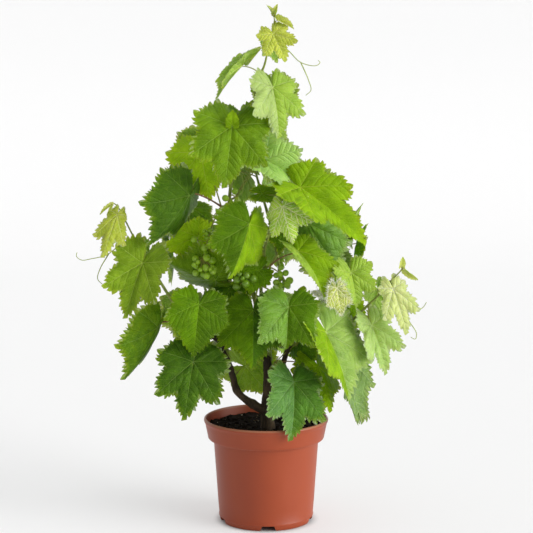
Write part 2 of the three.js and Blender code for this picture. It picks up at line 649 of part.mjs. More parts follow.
const random = seeded(seed);
for (const [name, mass] of Object.entries(backMasses)) {
  const curve = new THREE.CatmullRomCurve3(mass.stem, false, "centripetal");
  const leaves = [];
  for (let n = 0; n < mass.count; n += 1) {
    const entry = ruleLeaf(mass, curve, n, random);
    const test = blade(entry, gap);
    const touches = placed.some((other) => boxesMeet(test, other) && test.intersect(other).volume() > 0);
    if (touches || !insideSpace(test, mass.space)) continue;
    leaves.push(entry);
  }
  const full = { stem: mass.stem, radii: [1.9, 1.3], leaves };
  addPiece(name, massSolid(full, 0), massSolid(full, gap), leafGreen, 0.5);
}

export default part;
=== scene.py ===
# A young potted grapevine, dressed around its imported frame.
# The tables give millimetres, with +Z up and the front of the plant towards -Y; meshes are in metres.
import itertools
import math
import random

import bpy
import numpy as np
from mathutils import Matrix, Vector, noise


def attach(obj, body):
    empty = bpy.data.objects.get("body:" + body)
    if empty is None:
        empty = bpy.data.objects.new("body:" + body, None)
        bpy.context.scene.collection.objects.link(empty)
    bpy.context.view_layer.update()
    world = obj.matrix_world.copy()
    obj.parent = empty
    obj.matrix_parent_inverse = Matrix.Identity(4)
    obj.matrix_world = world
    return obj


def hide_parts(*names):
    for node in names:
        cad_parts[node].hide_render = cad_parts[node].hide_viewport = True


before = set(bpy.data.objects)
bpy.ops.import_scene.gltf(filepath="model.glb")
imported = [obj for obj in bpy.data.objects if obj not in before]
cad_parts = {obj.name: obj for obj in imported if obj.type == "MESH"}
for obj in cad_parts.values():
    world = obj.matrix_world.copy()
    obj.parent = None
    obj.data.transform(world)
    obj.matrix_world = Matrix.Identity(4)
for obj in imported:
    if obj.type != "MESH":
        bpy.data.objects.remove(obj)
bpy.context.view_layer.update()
mm = 0.001
print("frame loaded:", len(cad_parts), "nodes")


def linearColour(hexText):
    channels = [int(hexText[i:i + 2], 16) / 255 for i in (0, 2, 4)]
    return [c / 12.92 if c <= 0.04045 else ((c + 0.055) / 1.055) ** 2.4 for c in channels] + [1.0]


# Links or sets a node's inputs, by name or, from a list, in order; a text is a colour's hex value
def feed(tree, node, inputs):
    for key, value in inputs.items() if isinstance(inputs, dict) else enumerate(inputs):
        if isinstance(value, bpy.types.NodeSocket):
            tree.links.new(value, node.inputs[key])
        else:
            node.inputs[key].default_value = linearColour(value) if isinstance(value, str) else value


# Adds a node with its inputs and settings, and gives its outputs
def addNode(tree, kind, inputs=(), **settings):
    node = tree.nodes.new("ShaderNode" + kind)
    for key, value in settings.items():
        setattr(node, key, value)
    feed(tree, node, inputs)
    return node.outputs


# A material, its tree and shader, and the place in the piece that its patterns are read at
def newMaterial(name):
    material = bpy.data.materials.new(name)
    material.use_nodes = True
    tree = material.node_tree
    return material, tree, tree.nodes["Principled BSDF"], addNode(tree, "TexCoord")["Object"]


# A noise pattern, and two colours mixed by it: the first below the span, the second above it
def mottled(tree, pattern, span, first, second, least=0.0, most=1.0):
    grain = addNode(tree, "TexNoise", pattern)[0]
    mask = addNode(tree, "MapRange", [grain, *span, least, most])[0]
    return grain, addNode(tree, "Mix", {0: mask, 6: first, 7: second}, data_type="RGBA")[2]


def selectOnly(piece):
    if bpy.context.object and bpy.context.object.mode != "OBJECT":
        bpy.ops.object.mode_set(mode="OBJECT")
    bpy.ops.object.select_all(action="DESELECT")
    if piece:
        piece.select_set(True)
        bpy.context.view_layer.objects.active = piece


def newPiece(name, mesh):
    piece = bpy.data.objects.new(name, mesh)
    bpy.context.scene.collection.objects.link(piece)
    return piece


# Joins many small meshes, each (points in mm, faces, materials per face, uv per corner), into one piece
def joinedPiece(name, parts, materials, sharpAngle=60):
    points, faces, slots, corners = [], [], [], []
    count = 0
    for partPoints, partFaces, partSlots, partCorners in parts:
        points.append(np.asarray(partPoints, float))
        faces.extend([[i + count for i in face] for face in partFaces])
        slots.extend(partSlots if hasattr(partSlots, "__len__") else [partSlots] * len(partFaces))
        if partCorners is not None:
            corners.append(partCorners)
        count += len(partPoints)
    mesh = bpy.data.meshes.new(name)
    mesh.from_pydata((np.concatenate(points) * mm).tolist(), [], faces)
    mesh.polygons.foreach_set("material_index", slots)
    if corners:
        mesh.uv_layers.new(name="veinMap").data.foreach_set("uv", np.concatenate(corners).ravel())
    for material in materials:
        mesh.materials.append(material)
    piece = newPiece(name, mesh)
    selectOnly(piece)
    bpy.ops.object.shade_smooth_by_angle(angle=math.radians(sharpAngle))
    bpy.ops.object.material_slot_remove_unused()
    selectOnly(None)
    print(name + ":", sum(len(p.vertices) - 2 for p in mesh.polygons), "triangles")
    return piece


# The camera: the photograph's viewpoint, worked out from the pot's rim
camera = {"place": (0.0007, -2.30, 0.696), "down": 7.05, "lens": 98.4, "sensor": 36}
bpy.ops.object.camera_add(location=camera["place"], rotation=(math.radians(90 - camera["down"]), 0, 0))
viewer = bpy.context.object
viewer.name = "viewer"
viewer.data.lens = camera["lens"]
viewer.data.sensor_width = camera["sensor"]
bpy.context.scene.camera = viewer


def unit(vector):
    return vector / np.linalg.norm(vector)


# How far along a line of points each one is
def runLengths(points):
    return np.concatenate([[0], np.cumsum(np.linalg.norm(np.diff(points, axis=0), axis=1))])


# A smooth curve through the points, as a function of the share of its length, and that length
def catmullRoute(points):
    points = np.asarray(points, float)
    padded = np.vstack([2 * points[0] - points[1], points, 2 * points[-1] - points[-2]])

    def at(t):
        place = t * (len(points) - 1)
        i = min(int(place), len(points) - 2)
        u = place - i
        p0, p1, p2, p3 = padded[i:i + 4]
        d0, d1, d2 = (max(1e-4, np.linalg.norm(b - a)) ** 0.5 for a, b in ((p0, p1), (p1, p2), (p2, p3)))
        m1 = ((p1 - p0) / d0 - (p2 - p0) / (d0 + d1) + (p2 - p1) / d1) * d1
        m2 = ((p2 - p1) / d1 - (p3 - p1) / (d1 + d2) + (p3 - p2) / d2) * d1
        return (p1 + m1 * u + (-3 * p1 + 3 * p2 - 2 * m1 - m2) * u ** 2
                + (2 * p1 - 2 * p2 + m1 + m2) * u ** 3)

    shares = np.linspace(0, 1, 201)
    lengths = runLengths(np.array([at(share) for share in shares]))

    def atLength(fraction):
        return at(np.interp(fraction * lengths[-1], lengths, shares))
    return atLength, lengths[-1]


def along(points, count):
    curve = catmullRoute(points)[0]
    return [curve(k / count) for k in range(count + 1)]


# Places along a route whose foot is sunk in what carries it
def rooted(points, count, depth):
    places = along(points, count)
    places[0] = places[0] + unit(places[0] - places[1]) * depth
    return places


# The quads between rings of points that follow each other, from the first ring's first point
def ringFaces(first, bands, around):
    faces = []
    for i in range(bands):
        for j in range(around):
            a, b = first + i * around + j, first + i * around + (j + 1) % around
            faces.append([a, b, b + around, a + around])
    return faces


# A round tube along the places, with domed ends; its radius is a function of the share of the way, and
# its relief one of (mm along, angle, share, radius)
def tube(places, radius, sides, slot, relief=None):
    places = np.asarray(places, float)
    steps = len(places) - 1
    tangents = np.gradient(places, axis=0)
    tangents /= np.linalg.norm(tangents, axis=1)[:, None]
    normal = unit(np.cross(tangents[0], (0.3, 0.9, 0.2)))  # a direction that no tube starts in
    travelled = runLengths(places)
    points = []
    for i, (place, tangent) in enumerate(zip(places, tangents)):
        normal = unit(normal - tangent * np.dot(normal, tangent))
        other = np.cross(tangent, normal)
        for j in range(sides):
            angle = 2 * math.pi * j / sides
            r = radius(i / steps)
            if relief:
                r += relief(travelled[i], angle, i / steps, r)
            points.append(place + r * (math.cos(angle) * normal + math.sin(angle) * other))
    faces = ringFaces(0, steps, sides)
    for ring, outward in ((0, -1), (steps, 1)):
        points.append(places[ring] + tangents[ring] * outward * (radius(ring / steps) * 0.6))
        for j in range(sides):
            pair = [ring * sides + j, ring * sides + (j + 1) % sides]
            faces.append(pair[::outward] + [len(points) - 1])
    return points, faces, slot, None


# A leaf: x, y, z of its heart, its length and width factor, its turn, lean, roll, fold and droop in degrees,
# its tint (or one for each half) and its form, which is the side lobes' angle, the stretch of its tip and
# of its base lobes, and the depth of its sinuses
def leaf(x, y, z, length, wide, turn, lean, roll, fold, droop, tint, open=46, tip=1, base=1, cut=1):
    return {"heart": np.array([x, y, z], float), "length": length, "wide": wide, "turn": turn, "lean": lean,
            "roll": roll, "fold": fold, "droop": droop, "tint": tint, "open": open, "tip": tip, "base": base,
            "cut": cut, "blunt": 0}


# Each limb: what it is made of, its radius at the foot and at the end, and its route
limbs = {
    "trunk": ("bark", (8.8, 6.8), [(4, -22, 142), (3, -22, 160), (1, -21, 195), (3, -18, 235),
        (1, -16, 268)]),
    "left_arm": ("bark", (6.6, 3.4), [(1, -21, 181), (-18, -20, 191), (-45, -19, 212), (-53, -18, 237),
        (-60, -17, 260), (-68, -15, 276), (-72, -13, 290), (-88, -11, 302)]),
    "right_cane": ("bark", (4.4, 2.1), [(2, -17, 238), (24, -20, 254), (36, -20, 286), (60, -17, 318),
        (83, -15, 343), (96, -15, 363), (129, -13, 385), (140, -12, 399)]),
    "leader": ("greenWood", (3.6, 2.0), [(-4, -15, 264), (-11, -12, 320), (-20, -4, 368), (-36, 5, 424),
        (-54, 3, 480), (-58, 0, 511), (-54, 0, 551), (-45, 8, 592), (-34, 9, 628), (-19, 5, 667),
        (-16.5, 0, 712)]),
    "centre_shoot": ("greenWood", (3.3, 2.0), [(6, -14, 264), (-3, -8, 330), (-8, -5, 380), (-2, -6, 410),
        (-3, -12, 436), (10, -15, 482), (17, -18, 520)]),
    "left_shoot": ("greenWood", (3.1, 2.3), [(-68, -14, 281), (-90, -13, 283), (-122, -12, 319),
        (-148, -12, 357), (-160, -12, 376)]),
    "right_shoot": ("greenWood", (2.9, 2.0), [(38, -19, 290), (70, -11, 290), (101, -9, 303),
        (133, -11, 324), (158, -15, 348)]),
    "back_shoot": ("greenWood", (3.4, 2.0), [(2, -12, 258), (12, 22, 310), (22, 46, 390), (8, 56, 470),
        (-12, 56, 540)]),
    "back_left_shoot": ("greenWood", (2.8, 1.9), [(-56, -17, 250), (-68, 14, 290), (-92, 40, 350),
        (-112, 50, 410)]),
    "back_right_shoot": ("greenWood", (2.8, 1.9), [(30, -20, 272), (54, 12, 296), (88, 38, 346),
        (106, 46, 400)]),
}
masses = {}


# Adds a mass of leaves: its stem's radii and route, its leaves, and its tendrils, grapes and their stalk
def addMass(name, radii, stem, *leaves, **others):
    masses["leaves_" + name] = {"radii": radii, "stem": stem, "leaves": leaves, **others}


# A tint with a slash gives a leaf's halves different colours: painted light on one half and painted shade on
# the other
addMass("top", (1.9, 0.9), [(-16.5, 0, 712), (-6, 0, 721), (3, 0, 752), (9, -4, 779), (13, -5, 797),
        (11.5, -5, 808)],
        leaf(10, -5, 807, 17, 0.7, -150, 0, 60, 55, 10, "young"),
        leaf(13, -6, 808, 15, 0.8, 162, 10, -20, 45, 10, "young"),
        leaf(19, -6, 798, 27, 0.8, 61, 5, -30, 58, 10, "young"),
        leaf(11, -15, 777, 48, 0.92, 25, 18, -8, 12, 20, "lime", base=0.85, cut=0.78),
        leaf(-36, 0, 730, 73, 0.95, -39, 5, 76, 14, 12, "fresh"),
        leaf(10, -25, 695, 79, 0.88, 8, 15, -28, 15, 20, "light/spring", base=0.85, cut=0.82),
        leaf(14, 26, 692, 66, 0.85, 4, -14, 180, -10, 20, "mid"),
        leaf(10, 20, 770, 38, 0.8, 10, -16, 180, -12, 20, "mid"),
        tendrils=[[(8, -5, 774), (34, -10, 752), (54, -12, 733), (78, -12, 728), (84, -12, 733),
                   (81, -12, 736)],
                  [(54, -12, 733), (66, -12, 706), (70, -12, 690), (62, -12, 682)],
                  [(8, -5, 774), (-6, -6, 757), (-20, -8, 740), (-29, -8, 728)]],
        berries=[[-21, -4, 698, 2.6], [-22, -5, 689, 2.6]],
        peduncle=[(-15, 0, 713), (-18, -3, 704), (-21, -5, 686)])
addMass("upper_front", (1.8, 1.5), [(-34, 9, 628), (-40, -8, 620)],
        leaf(-52, -45, 635, 95, 0.97, -7, 18, -3, 10, 22, "mid", cut=0.92),
        leaf(-52, -52, 637, 22, 0.7, 178, 10, 0, 40, 20, "fresh"))
addMass("upper_back", (1.8, 1.4), [(-46, 7, 590), (-54, 26, 596)],
        leaf(-40, 44, 646, 92, 0.95, 8, -22, 180, -12, 25, "mid"),
        leaf(-104, 52, 606, 70, 0.85, -16, -20, 192, -10, 25, "mid"))
addMass("upper_left", (2.6, 2.0), [(-58, 0, 508), (-71, 1, 507)],
        leaf(-104, 18, 593, 77, 1.08, 11, 6, 0, -8, 20, "bright"),
        leaf(-120, -25, 527, 99, 0.87, -37, 16, -38, -30, 25, "dark"),
        leaf(-107, 14, 457, 60, 0.78, -73, 8, 0, 8, 20, "bright"),
        berries=[[-113, -22, 457, 5.2], [-97, -27, 444, 5.8], [-93, -29, 429, 6.1], [-85, -24, 424, 5.9],
                 [-95, -27, 413, 6.0], [-111, -23, 427, 5.3], [-109, -22, 415, 4.9], [-111, -20, 404, 5.2],
                 [-99, -22, 402, 4.8], [-93, -14, 459, 5.0], [-88, -18, 471, 4.4]],
        peduncle=[(-70, 0, 506), (-76, -7, 499), (-84, -13, 481), (-92, -18, 455), (-99, -20, 428)])
addMass("upper_right", (1.9, 1.6), [(-56, 0, 518), (-48, -4, 522)],
        leaf(-3, -5, 582, 70, 1.0, 59, 5, -33, 33, 20, "satin"),
        leaf(8, 44, 590, 60, 0.85, 34, -16, 172, -14, 20, "mid"),
        tendrils=[[(-48, -4, 522), (-38, -6, 530), (-36, -6, 548), (-41, -4, 560)]],
        berries=[[-49, -7, 532, 5.2], [-64, -8, 521, 5.4], [-63, -6, 509, 3.6]],
        peduncle=[(-48, -4, 522), (-54, -7, 526), (-60, -8, 516)])
addMass("centre_front", (1.8, 1.5), [(-45, 4, 452), (-34, -14, 462)],
        leaf(-26, -58, 485, 88, 0.88, -18, 14, -24, -24, 22, "leafy/fresh"))
addMass("centre", (1.9, 1.5), [(17, -18, 520), (20, -20, 530)],
        leaf(53, -30, 540, 90, 1.03, 52, 14, -39, 25, 15, "fresh", open=40, tip=1.5, base=0.9, cut=0.85),
        leaf(26, -54, 512, 60, 1.0, 15, 22, 20, -22, 20, "woolly", cut=0.85),
        leaf(-7, -10, 528, 42, 0.6, 80, 0, -40, 12, 15, "mid"),
        leaf(26, -8, 482, 50, 0.65, -6, 14, 0, -10, 20, "leafy"),
        leaf(66, 36, 540, 76, 0.85, 30, -20, 176, -12, 25, "mid"))
addMass("right_middle", (2.0, 1.7), [(-2, -6, 410), (6, -9, 413)],
        leaf(50, -32, 440, 84, 0.8, 33, 18, -50, 33, 30, "spring/fresh", base=0.8),
        leaf(67, 6, 480, 104, 0.6, 33, 10, 10, -14, 20, "glossy"),
        berries=[[24, -14, 412, 4.9], [31, -15, 403, 5.0], [37, -16, 391, 6.0], [16, -16, 388, 5.2],
                 [33, -19, 385, 6.0], [16, -12, 399, 4.8], [24, -14, 378, 5.2]],
        peduncle=[(5, -9, 412), (14, -11, 408), (26, -14, 398), (32, -16, 384)])
addMass("centre_low", (2.0, 1.6), [(-8, -5, 378), (-12, -18, 384)],
        leaf(-20, -46, 348, 91, 0.97, 0, 22, 0, -12, 30, "grass/shade"),
        leaf(35, -76, 359, 88, 0.95, -4, 20, 0, 16, 30, "glossy/leafy", open=35, tip=0.72, base=0.85),
        leaf(-12, -24, 408, 46, 0.9, -64, 10, 0, 8, 15, "grass"),
        berries=[[-45, -36, 395, 6.4], [-30, -40, 402, 5.8], [-32, -42, 390, 6.4], [-20, -40, 397, 6.4],
                 [-46, -32, 384, 6.2]],
        peduncle=[(-12, -18, 385), (-24, -30, 396), (-34, -34, 392)])
addMass("left_middle", (2.0, 1.7), [(-27, 0, 392), (-44, -6, 380)],
        leaf(-80, -10, 391, 86, 0.85, -110, 4, -34, -26, 15, "mid"),
        leaf(-58, 5, 374, 88, 0.62, -15, 2, 10, -14, 15, "shade"))
addMass("left_spray", (2.2, 0.8), [(-160, -12, 376), (-191, -12, 428), (-208, -12, 458), (-225, -14, 493),
        (-234, -18, 510), (-240, -20, 514), (-245, -22, 511)],
        leaf(-194, -30, 421, 89, 0.82, -18, 10, 13, 20, 20, "sunny", cut=0.86),
        leaf(-233, -28, 497, 70, 0.58, -19, 12, 5, -15, 15, "lime", base=0.7, cut=0.8),
        leaf(-243, -23, 511, 22, 0.5, -52, 10, 40, 50, 10, "young"),
        leaf(-243, -20, 511, 16, 0.5, -24, 0, -30, 50, 10, "young"),
        leaf(-188, 22, 432, 60, 0.85, -22, -14, 180, -10, 20, "mid"),
        tendrils=[[(-208, -12, 458), (-232, -16, 446), (-252, -18, 432), (-276, -18, 426), (-291, -18, 424),
                   (-299, -18, 430), (-298, -18, 436)],
                  [(-248, -18, 434), (-262, -18, 410), (-266, -18, 394), (-256, -18, 383)]])
addMass("left_low", (2.0, 1.6), [(-112, -12, 307), (-118, -22, 318)],
        leaf(-104, -60, 360, 68, 0.98, -6, 18, 0, 10, 30, "grass/leafy", open=60, tip=1.2),
        leaf(-171, -30, 319, 99, 0.65, -31, 8, -46, -33, 20, "deep", base=0.9),
        leaf(-128, 24, 350, 72, 0.9, -12, -16, 180, -12, 25, "mid"))
addMass("left_bottom", (1.9, 1.6), [(-59, -17, 258), (-68, -28, 262)],
        leaf(-113, -70, 271, 90, 0.95, -9, 22, 2, 8, 25, "dark", open=40, cut=0.84))
addMass("low_back", (1.8, 1.4), [(-53, -18, 236), (-46, -2, 240)],
        leaf(-33, 12, 248, 70, 0.88, 82, 0, 0, 10, 15, "spring"),
        leaf(-92, 44, 272, 76, 0.85, -14, -20, 186, -10, 25, "mid"))
addMass("low_right", (2.0, 1.7), [(3, -18, 246), (14, -30, 262)],
        leaf(43, -74, 240, 90, 0.92, -2, 22, -22, 14, 25, "teal/cool", open=42, base=0.8, cut=0.86),
        leaf(82, -38, 257, 72, 0.85, 17, 10, -35, -20, 20, "fresh"),
        leaf(58, -22, 300, 52, 0.85, -8, 10, 40, -15, 20, "shade"))
addMass("right_low", (1.9, 1.6), [(97, -9, 301), (84, -24, 311)],
        leaf(93, -54, 315, 108, 0.82, 21, 14, -51, 21, 20, "fresh/sheen"),
        leaf(131, -20, 284, 118, 0.66, 6, 2, 113, -12, 15, "bluish"))
addMass("right_upper", (1.9, 1.6), [(140, -12, 399), (141, -14, 412)],
        leaf(134, -24, 405, 54, 1.0, 10, 10, -22, 22, 20, "spring", cut=0.85),
        leaf(124, 8, 366, 74, 0.6, 12, 6, 0, -8, 20, "fresh"),
        leaf(110, -62, 386, 44, 0.8, 9, 12, 0, 10, 20, "downy"),
        leaf(94, -42, 368, 24, 0.7, -112, 0, 30, 40, 10, "frosty"))
addMass("right_spray", (1.9, 0.9), [(158, -15, 348), (184, -17, 374), (197, -20, 391), (213, -20, 408),
        (216, -20, 414)],
        leaf(200, -30, 380, 73, 0.62, 17, 18, -8, 10, 22, "cream", base=0.7, cut=0.78),
        leaf(167, -24, 321, 79, 0.78, 18, 12, -30, 30, 20, "pale", base=0.85, cut=0.75),
        leaf(220, -20, 407, 24, 0.55, 54, 0, 30, 40, 15, "young"),
        leaf(213, -20, 414, 15, 0.9, 170, 0, 20, 40, 10, "young"),
        leaf(180, 20, 372, 50, 0.8, 30, -14, 182, -10, 20, "mid"),
        tendrils=[[(197, -20, 391), (208, -24, 360), (230, -26, 342), (248, -26, 350), (253, -26, 358)],
                  [(208, -24, 360), (226, -26, 328), (238, -26, 308), (236, -26, 299), (229, -26, 302)]])

# At the back: each mass's stem, its leaves' size and the way that they face, in degrees
backMasses = {
    "leaves_back_top": {"size": 72, "facing": 4, "stem": [(-12, 56, 540), (-16, 78, 556), (-18, 90, 584),
        (-20, 96, 622)]},
    "leaves_back_middle": {"size": 82, "facing": 8, "stem": [(16, 52, 440), (18, 76, 446), (16, 98, 470),
        (14, 108, 510)]},
    "leaves_back_left": {"size": 74, "facing": -32, "stem": [(-112, 50, 410), (-120, 60, 436),
        (-124, 66, 470), (-128, 66, 500)]},
    "leaves_back_right": {"size": 74, "facing": 34, "stem": [(106, 46, 400), (112, 56, 424), (112, 62, 452),
        (108, 64, 480)]},
    "leaves_back_low": {"size": 82, "facing": -4, "stem": [(12, 22, 310), (6, 46, 302), (-2, 68, 308),
        (-8, 82, 336)]},
}
# In mm, and how far below its heart a leaf's stalk leaves the stem, as a share of the leaf's length
stalkLook = {"clearOfLimb": 7, "root": 1.2, "foot": 2.5, "below": 0.12}
# What a back leaf's measures are drawn from: the least value and its spread
backRule = {"azimuth": (34, 18), "size": (0.88, 0.24), "wide": (0.8, 0.12), "turn": (0, 10),
            "lean": (-28, -10), "fold": (-8, -8), "droop": (20, 15), "taper": 0.16, "reach": 0.52,
            "seed": 20, "count": 4, "tints": ("mid", "grass", "deep", "mid")}


# The blade's directions: across it, towards its tip and out of its upper face
def bladeAxes(one):
    turn, lean, roll = (math.radians(one[k]) for k in ("turn", "lean", "roll"))
    flat = np.array([math.sin(turn), 0, -math.cos(turn)])
    front = np.array([0, -1, 0])
    tipward = math.cos(lean) * flat + math.sin(lean) * front
    facing = math.cos(lean) * front - math.sin(lean) * flat
    up = math.cos(roll) * facing + math.sin(roll) * np.cross(tipward, facing)
    return np.cross(tipward, up), tipward, up


# Points of the folded, arching blade; s is across, t along the midrib, height out of the upper face
def bladePoints(one, s, t, height):
    side, tipward, up = bladeAxes(one)
    s, t, height = (np.asarray(v, float)[..., None] for v in (s, t, height))
    half = math.radians(one["droop"]) / 2
    bend = math.radians(one["droop"] or 0.01) / one["length"]
    angle = bend * t - half
    fold = math.radians(one["fold"])
    crease = 0.025 * one["length"]  # rounds the fold
    lift = (np.sqrt(s * s + crease * crease) - crease) * math.sin(fold) + height
    reach = (np.sin(angle) + math.sin(half)) / bend + np.sin(angle) * lift
    rise = (np.cos(angle) - math.cos(half)) / bend + np.cos(angle) * lift
    return one["heart"] + side * s * math.cos(fold) + tipward * reach + up * rise


# The solids' own seeded draws
def seeded(start):
    state = [start]

    def draw():
        state[0] = (state[0] + 0x6D2B79F5) & 0xFFFFFFFF
        t = ((state[0] ^ (state[0] >> 15)) * (1 | state[0])) & 0xFFFFFFFF
        t = ((t + (((t ^ (t >> 7)) * (61 | t)) & 0xFFFFFFFF)) & 0xFFFFFFFF) ^ t
        return ((t ^ (t >> 14)) & 0xFFFFFFFF) / 4294967296
    return draw


# The back masses' leaves stand alternately along the stem, face outward and hang like shingles
def ruleLeaf(mass, n, draw):
    def drawn(measure):
        least, spread = backRule[measure]
        return least + spread * draw()

    curve, length = catmullRoute(mass["stem"])
    start = min(0.5, stalkLook["clearOfLimb"] / length)
    node = curve(min(1, start + (1 - start) * (n + 0.5) / backRule["count"]))
    sideways = -1 if n % 2 == 0 else 1
    azimuth = mass["facing"] + sideways * drawn("azimuth")
    outward = np.array([math.sin(math.radians(azimuth)), math.cos(math.radians(azimuth)), 0])
    size = mass["size"] * drawn("size") * (1 - backRule["taper"] * n / backRule["count"])
    heart = node + backRule["reach"] * size * outward + np.array([0, 0, stalkLook["below"] * size])
    one = leaf(*heart, size, drawn("wide"), sideways * drawn("turn"), drawn("lean"), 180 - azimuth,
               drawn("fold"), drawn("droop"), backRule["tints"][n])
    one["node"] = node
    return one


# The place on its mass's stem that a leaf's stalk leaves from
def stemNode(one, stem):
    curve, length = catmullRoute(stem)
    aim = one["heart"] - np.array([0, 0, stalkLook["below"] * one["length"]])
    first = min(0.9, stalkLook["clearOfLimb"] / length)
    choices = [curve(share) for share in np.linspace(first, 1, 25)]
    return min(choices, key=lambda p: np.linalg.norm(p - aim))


# Leaf blades
bladeLook = {
    "tooth": 8.2,  # mm along the edge for each tooth of a grown leaf
    "toothHeight": 0.04,  # of the blade's length
    "toothWidths": (0.7, 1.0, 1.4),  # against each other
    "lobeTooth": 1.8,  # how high a lobe's end tooth is, against the others
    "toothless": 0.36,  # of the length from the heart, within which the teeth grow smaller
    # the swelling between veins, the waves and the sunken veins, as shares of the length
    "relief": (0.028, 0.018, 0.003),
    "sag": 0.02, "sagSpread": 0.045,
    "rib": 1.1,  # mm that a grown leaf's main veins stand out below
    "thickness": 0.4,
    # rings of points above and below, as shares of the way from the heart to the edge
    "rings": (0.05, 0.14, 0.24, 0.35, 0.46, 0.57, 0.67, 0.77, 0.86, 0.94, 1.0),
    "underRings": (0.06, 0.24, 0.46, 0.7, 0.9),
    "grownLength": 90,
    "budLength": 30,  # below it a leaf is a plain bud
}
# the edge's distance from the heart, as a share of the length, by degrees from the tip
plainOutline = np.array([
    (0, 1.0), (4, 0.955), (9, 0.89), (15, 0.825), (20, 0.77), (23, 0.745), (27, 0.765), (33, 0.795),
    (40, 0.82), (46, 0.85), (52, 0.805), (59, 0.755), (66, 0.68), (71, 0.64), (74, 0.62), (78, 0.63),
    (85, 0.655), (94, 0.665), (102, 0.645), (112, 0.6), (124, 0.57), (136, 0.55), (147, 0.53), (155, 0.49),
    (161, 0.43), (166, 0.33), (170, 0.21), (174, 0.11), (180, 0.03)])
budOutline = np.array([(0, 1.0), (20, 0.86), (45, 0.62), (80, 0.5), (130, 0.4), (180, 0.05)])
mainVeins = (0, 46, 102)  # degrees of the tip, the side lobe and the base lobe
sideLobe = mainVeins[1]
# a tooth leans towards the nearer lobe's tip: steep on that side, long and full on the other
toothLeaving = ((0, 1.0), (0.3, 0.66), (0.6, 0.22), (0.85, -0.34))
toothComing = ((0, 1.0), (0.15, -0.34), (0.4, 0.22), (0.7, 0.66))


# A leaf's own angle for each plain one, and its stretch there
def lobed(one, degrees):
    beyond = np.maximum(0, degrees - sideLobe) / (180 - sideLobe)
    angle = np.minimum(degrees, sideLobe) / sideLobe * one["open"] + beyond * (180 - one["open"])
    stretch = np.where(degrees < sideLobe, one["tip"] + (1 - one["tip"]) * degrees / sideLobe,
                       1 + (one["base"] - 1) * np.minimum(1, beyond * 2.4))
    sinus = np.maximum(0, np.maximum(1 - np.abs(degrees - 23) / 12, 1 - np.abs(degrees - 74) / 14))
    bulge = one["blunt"] * np.maximum(0, 1 - np.abs(degrees - 17) / 17)
    return np.radians(angle), stretch * (1 - (1 - one["cut"]) * sinus) * (1 + bulge)


# One half's columns from tip to heart: plain degrees, smooth edge point, toothed edge point
def halfColumns(one, chance):
    outline = plainOutline if one["length"] >= bladeLook["budLength"] else budOutline
    toothLength = bladeLook["tooth"] * (one["length"] / bladeLook["grownLength"]) ** 0.5
    columns = []
    for start, end in itertools.pairwise(mainVeins + (147, 180)):
        degrees = np.linspace(start, end, 41)
        angle, stretch = lobed(one, degrees)
        reach = np.interp(degrees, outline[:, 0], outline[:, 1]) * stretch * one["length"]
        edge = np.stack([reach * np.sin(angle) * one["wide"], reach * np.cos(angle)], 1)
        lengths = runLengths(edge)
        teeth = max(1, round(lengths[-1] / toothLength))
        widths = np.array([chance.choice(bladeLook["toothWidths"]) for _ in range(teeth)])
        tips = np.concatenate([[0], np.cumsum(widths) / widths.sum()]) * lengths[-1]
        ends = [bladeLook["lobeTooth"]]
        heights = ends + [(a + b) / 2 for a, b in zip(widths, widths[1:])] + ends
        for k in range(teeth):
            leaving = (k + 0.5) / teeth < 0.5
            for share, rise in toothLeaving if leaving else toothComing:
                owner = k if leaving or share == 0 else k + 1
                place = tips[k] + share * (tips[k + 1] - tips[k])
                smooth, ahead, behind = (np.array([np.interp(place + d, lengths, edge[:, i]) for i in (0, 1)])
                                         for d in (0, 1, -1))
                tangent = ahead - behind
                tangent /= np.linalg.norm(tangent) + 1e-9
                outward = np.array([-tangent[1], tangent[0]])
                if np.dot(outward, smooth) < 0:
                    outward = -outward
                fade = min(1, np.linalg.norm(smooth) / (bladeLook["toothless"] * one["length"])) ** 2
                size = bladeLook["toothHeight"] * one["length"] * heights[owner] * fade * rise
                columns.append((np.interp(place, lengths, degrees), smooth, smooth + outward * size))
    return columns
